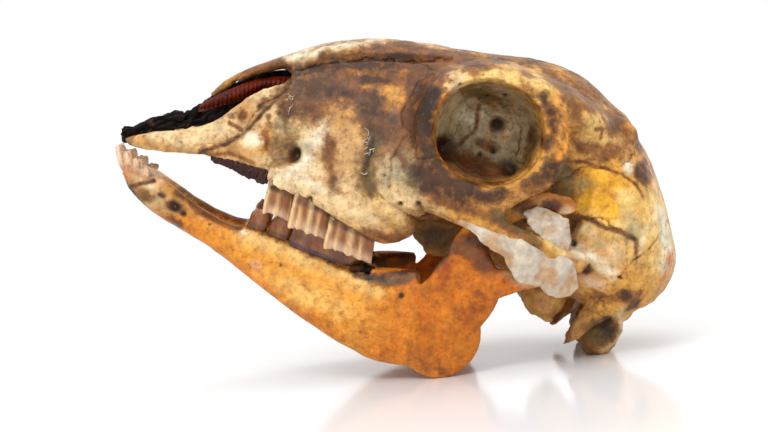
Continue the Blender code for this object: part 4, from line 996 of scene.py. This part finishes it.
def tissue_sheet(name, low, high, out, thickness, ragged, seed, belly=0.0, ribs=0.0, size=(120, 30),
                 lumps=0.3, folds=190):
    """Thin dried sheet between two lines, with torn edges, swollen out in the middle and ribbed."""
    bpy.ops.object.select_all(action='DESELECT')
    bpy.ops.mesh.primitive_grid_add(x_subdivisions=size[0], y_subdivisions=size[1], size=2.0)
    sheet = bpy.context.object
    sheet.name = name
    sheet.data.name = name
    shares = vertices_of(sheet)[:, :2] / 2 + 0.5
    a, b = np.clip(shares[:, 0], 0, 1), np.clip(shares[:, 1], 0, 1)
    spot = np.stack([a * 40, b * 8, np.full(len(a), seed)], axis=1)
    torn_low = ragged * np.abs(grainy(np.stack([a * 40, a * 0, a * 0 + seed], axis=1), 8.0, seed, 4))
    torn_low *= 1 - soft_step(0.0, 0.6, b)
    torn_high = np.abs(grainy(np.stack([a * 40, a * 0 + 9, a * 0 + seed], axis=1), 4.0, seed + 3, 3))
    torn_high *= 0.4 * ragged * soft_step(0.5, 1.0, b)
    under, over = at_share(low, a), at_share(high, a)
    steps = np.linspace(0, 1, len(out))
    tall = np.linalg.norm(over - under, axis=1)
    t = b * (1 - torn_high / np.maximum(tall, 1)) + (1 - b) * torn_low / np.maximum(tall, 1)
    flat = under + (over - under) * np.clip(t, 0, 1)[:, None]
    inner, outer = (np.interp(a, steps, [pair[k] for pair in out]) for k in range(2))
    s = inner + (outer - inner) * t + belly * np.sin(math.pi * b) + ribs * np.sin(a * folds + b * 2)
    s += lumps * grainy(spot, 2.6, seed + 5, 3)
    set_vertices(sheet, to_world(np.stack([flat[:, 0], s, flat[:, 1]], axis=1)))
    finish_with(sheet, 'SOLIDIFY', thickness=thickness * MM, offset=0.0, use_rim=True)
    point_outwards(sheet)
    return sheet


def finish_pair(left, name, material, slot, cad=None):
    """Finishes the left piece, and the same form on the right-hand side as a mesh of its own."""
    twin = bpy.data.objects.new(name + "_right", left.data.copy())
    twin.data.name = twin.name
    bpy.context.scene.collection.objects.link(twin)
    set_vertices(twin, vertices_of(twin) * np.array([1, -1, 1]))
    twin.data.flip_normals()
    for piece, side in ((left, "_left"), (twin, "_right")):
        finish_piece(piece, material, slot, *([cad + side] if cad else []))


def tint(thing, main, other, grain, seed, least=-0.2):
    """Paints a piece in one colour, with a cloudy share of another."""
    places = to_skull(vertices_of(thing))
    share = soft_step(least, least + 1.0, grainy(places, grain, seed, 4))[:, None]
    put_colour(thing, "paint", COLOURS[main] * (1 - share) + COLOURS[other] * share)


def build_tissue():
    """Remnants of dried gristle, membrane and tendon, first in the nose and then at the jaw joint."""
    # Gristle dries almost black and horny, with little shine left on its wrinkles
    gristle = painted_material("dried nose gristle, black brown", 0.36, (1, 1, 1), 0.9,
                               Specular_IOR_Level=0.1)
    # The scrolls keep the red of the blood that dried on them
    scroll = painted_material("dried turbinate scroll, red brown", 0.3, (1, 1, 1), 0.5, (0.5, 1.3),
                              Specular_IOR_Level=0.15)
    # The lining of the palate dries to a dark wrinkled skin
    lining = painted_material("dried palate lining, dark red brown", 0.4, (1, 1, 1), 0.8)
    # The capsule is milky and lets a little light through, like wax paper
    capsule = painted_material("dried joint capsule, milky and waxy", 0.34, (0.4, 0.4, 0.4), 1.0, (0.66, 1.1),
                               Subsurface_Weight=0.35, Subsurface_Radius=(1.6 * MM, 1.2 * MM, 1.0 * MM))
    septum = tissue_sheet("septum_gristle", SEPTUM_LOW, SEPTUM_HIGH, [(0, 0), (0, 0)], 1.5, 0.9, 3, 0.0, 0.0,
                          (220, 44), 0.8)
    tint(septum, "soot", "brown", 1.6, 11, 0.45)
    finish_piece(septum, gristle, "dried_gristle", "septum")
    pairs = [
        ("turbinate", "turbinate_scroll", TURBINATE_LOW, TURBINATE_HIGH, [(5.6, 6.4), (7.4, 6.4)],
         0.7, 0.5, 7, 1.3, 0.26, 190, scroll, "dried_membrane", ("ember", "crimson")),
        ("palate_strip", "palate_lining", LINING_LOW, LINING_HIGH, [(12.6, 13.2), (14.4, 15.2)],
         0.9, 1.0, 13, 0.4, 0.0, 190, lining, "dried_gristle", ("oxblood", "umber")),
        ("joint_tissue", "joint_capsule", CAPSULE_LOW, CAPSULE_HIGH,
         [(39.6, 39.4), (40.4, 40.4), (40.8, 40.6), (38.6, 38.0), (34.0, 33.0)],
         0.7, 1.3, 17, 0.7, 0.4, 24, capsule, "dried_tendon", ("milk", "blush"))]
    for cad, name, low, high, out, thick, ragged, seed, belly, ribs, folds, finish, slot, tones in pairs:
        left = tissue_sheet(name + "_left", low, high, out, thick, ragged, seed, belly, ribs, folds=folds)
        tint(left, tones[0], tones[1], 5.0, seed + 1)
        finish_pair(left, name, finish, slot, cad)
    tendon = tissue_sheet("coronoid_tendon_left", TENDON_LOW, TENDON_HIGH,
                          [(36.4, 34.4), (37.6, 34.6), (37.0, 33.4)], 0.7, 1.2, 19, 0.6)
    tint(tendon, "milk", "blush", 3.0, 23)
    finish_pair(tendon, "coronoid_tendon", capsule, "dried_tendon")
    build_gum(gristle)
    build_fibres(capsule)


def build_gum(material):
    """Rough black lumps of dried gum behind the last lower tooth, run together into one mass a side."""
    lumps = []
    for (u, v), size in GUM_LUMPS:
        bpy.ops.object.select_all(action='DESELECT')
        bpy.ops.mesh.primitive_ico_sphere_add(subdivisions=4, radius=1.0)
        lump = bpy.context.object
        ball = vertices_of(lump)
        rough = 1 + 0.3 * grainy(ball * 6 + u, 3.0, 97, 3)
        places = np.array([u, GUM_OUT, v]) + ball * size * np.array([1.1, 1.0, 0.9]) * rough[:, None]
        set_vertices(lump, to_world(places))
        lumps.append(lump)
    left = join_pieces("dried_gum_left", lumps)
    point_outwards(left)
    finish_with(left, 'REMESH', mode='VOXEL', voxel_size=GUM_VOXEL * MM)
    tint(left, "soot", "umber", 2.4, 37)
    finish_pair(left, "dried_gum", material, "dried_gristle")


def build_fibres(material):
    """Short torn strands that lie on the bone of the face, curling off it at their ends."""
    draw = np.random.default_rng(7)
    strands = []
    for (u, v), count in FIBRES:
        for _ in range(count):
            start = to_world([(u + draw.normal(0, 0.8), 60, v + draw.normal(0, 0.8))])[0]
            hit = skin_tree.ray_cast(Vector(start), Vector((0, 1, 0)))
            if hit[0] is None:
                continue
            bpy.ops.object.select_all(action='DESELECT')
            bpy.ops.mesh.primitive_cylinder_add(vertices=6, radius=1.0, depth=1.0, end_fill_type='NGON')
            strand = bpy.context.object
            clay = bmesh.new()
            clay.from_mesh(strand.data)
            long = [edge for edge in clay.edges if abs(edge.verts[0].co.z - edge.verts[1].co.z) > 0.5]
            bmesh.ops.subdivide_edges(clay, edges=long, cuts=9, use_grid_fill=False)
            clay.to_mesh(strand.data)
            clay.free()
            reach, lift = draw.uniform(0.6, 2.6) * MM, draw.uniform(0.1, 0.5) * MM
            turn, curl = draw.uniform(0, 2 * math.pi), draw.uniform(-1.6, 1.6)
            start = np.array(hit[0])
            places = vertices_of(strand)
            t = places[:, 2] + 0.5
            heading = turn + curl * t
            radius = draw.uniform(0.06, 0.2) * MM * (1 - 0.7 * t)
            rise = 0.1 * MM + lift * np.sin(math.pi * t * 0.8)
            run = t * reach
            spine = start + np.stack([np.cos(heading) * run, -rise, np.sin(heading) * run], axis=1)
            cross = np.stack([-np.sin(heading), np.zeros(len(t)), np.cos(heading)], axis=1)
            set_vertices(strand, spine + cross * (places[:, 0] * radius)[:, None]
                         + np.array([0, 1, 0]) * (places[:, 1] * radius)[:, None])
            strands.append(strand)
    fibres = join_pieces("dried_fibres", strands)
    point_outwards(fibres)
    tint(fibres, "milk", "pearl", 2.0, 29)
    finish_piece(fibres, material, "dried_tendon")


def build_floor():
    bpy.ops.object.select_all(action='DESELECT')
    bpy.ops.mesh.primitive_plane_add(size=6.0, location=(0, 0, 0))
    floor = bpy.context.object
    floor.name = "pale_floor"
    # Polished white acrylic: bright, with a soft reflection of what stands on it
    material, _, shader = new_material("white acrylic sheet")
    shader.inputs["Base Color"].default_value = (0.93, 0.93, 0.94, 1)
    shader.inputs["Roughness"].default_value = 0.12
    floor.data.materials.append(material)


def area_light(name, place, aim, size, power):
    light = bpy.data.lights.new(name, 'AREA')
    light.shape = 'RECTANGLE'
    light.size, light.size_y = size
    light.energy = power
    lamp = bpy.data.objects.new(name, light)
    bpy.context.scene.collection.objects.link(lamp)
    lamp.location = place
    lamp.rotation_euler = (Vector(aim) - Vector(place)).to_track_quat('-Z', 'Y').to_euler()


def light_scene():
    """White surround with one soft key light from the front left and a weaker one above."""
    world = bpy.data.worlds.new("white surround")
    bpy.context.scene.world = world
    world.use_nodes = True
    back = world.node_tree.nodes["Background"]
    back.inputs["Color"].default_value = (1, 1, 1, 1)
    back.inputs["Strength"].default_value = 1.0
    area_light("key", (-0.3, -0.55, 0.7), (0, 0, 0.05), (0.4, 0.3), 2.9)
    area_light("top", (0.1, 0.1, 0.9), (0, 0, 0.05), (0.6, 0.6), 1.6)
    bpy.context.scene.view_settings.view_transform = 'Standard'


def place_camera():
    """Long lens on the skull's left, just above the table, rolled so that the table rises to the right."""
    distance, target_x, target_z = 0.6187, -0.0041, 0.04416
    rise, roll = math.radians(5.0), math.radians(5.59)
    forward = Vector((0, math.cos(rise), -math.sin(rise)))
    upright = Vector((0, math.sin(rise), math.cos(rise)))
    right = Vector((1, 0, 0)) * math.cos(roll) - upright * math.sin(roll)
    up = Vector((1, 0, 0)) * math.sin(roll) + upright * math.cos(roll)
    place = Vector((target_x, 0, target_z)) - forward * distance
    lens = bpy.data.cameras.new("camera")
    lens.lens, lens.sensor_width = 100, 36
    lens.clip_start = 0.01
    camera = bpy.data.objects.new("camera", lens)
    bpy.context.scene.collection.objects.link(camera)
    camera.matrix_world = Matrix.Translation(place) @ Matrix((right, up, -forward)).transposed().to_4x4()
    bpy.context.scene.camera = camera


skin_tree = build_cranium()
build_jaws()
build_teeth()
build_tissue()
build_floor()
light_scene()
place_camera()
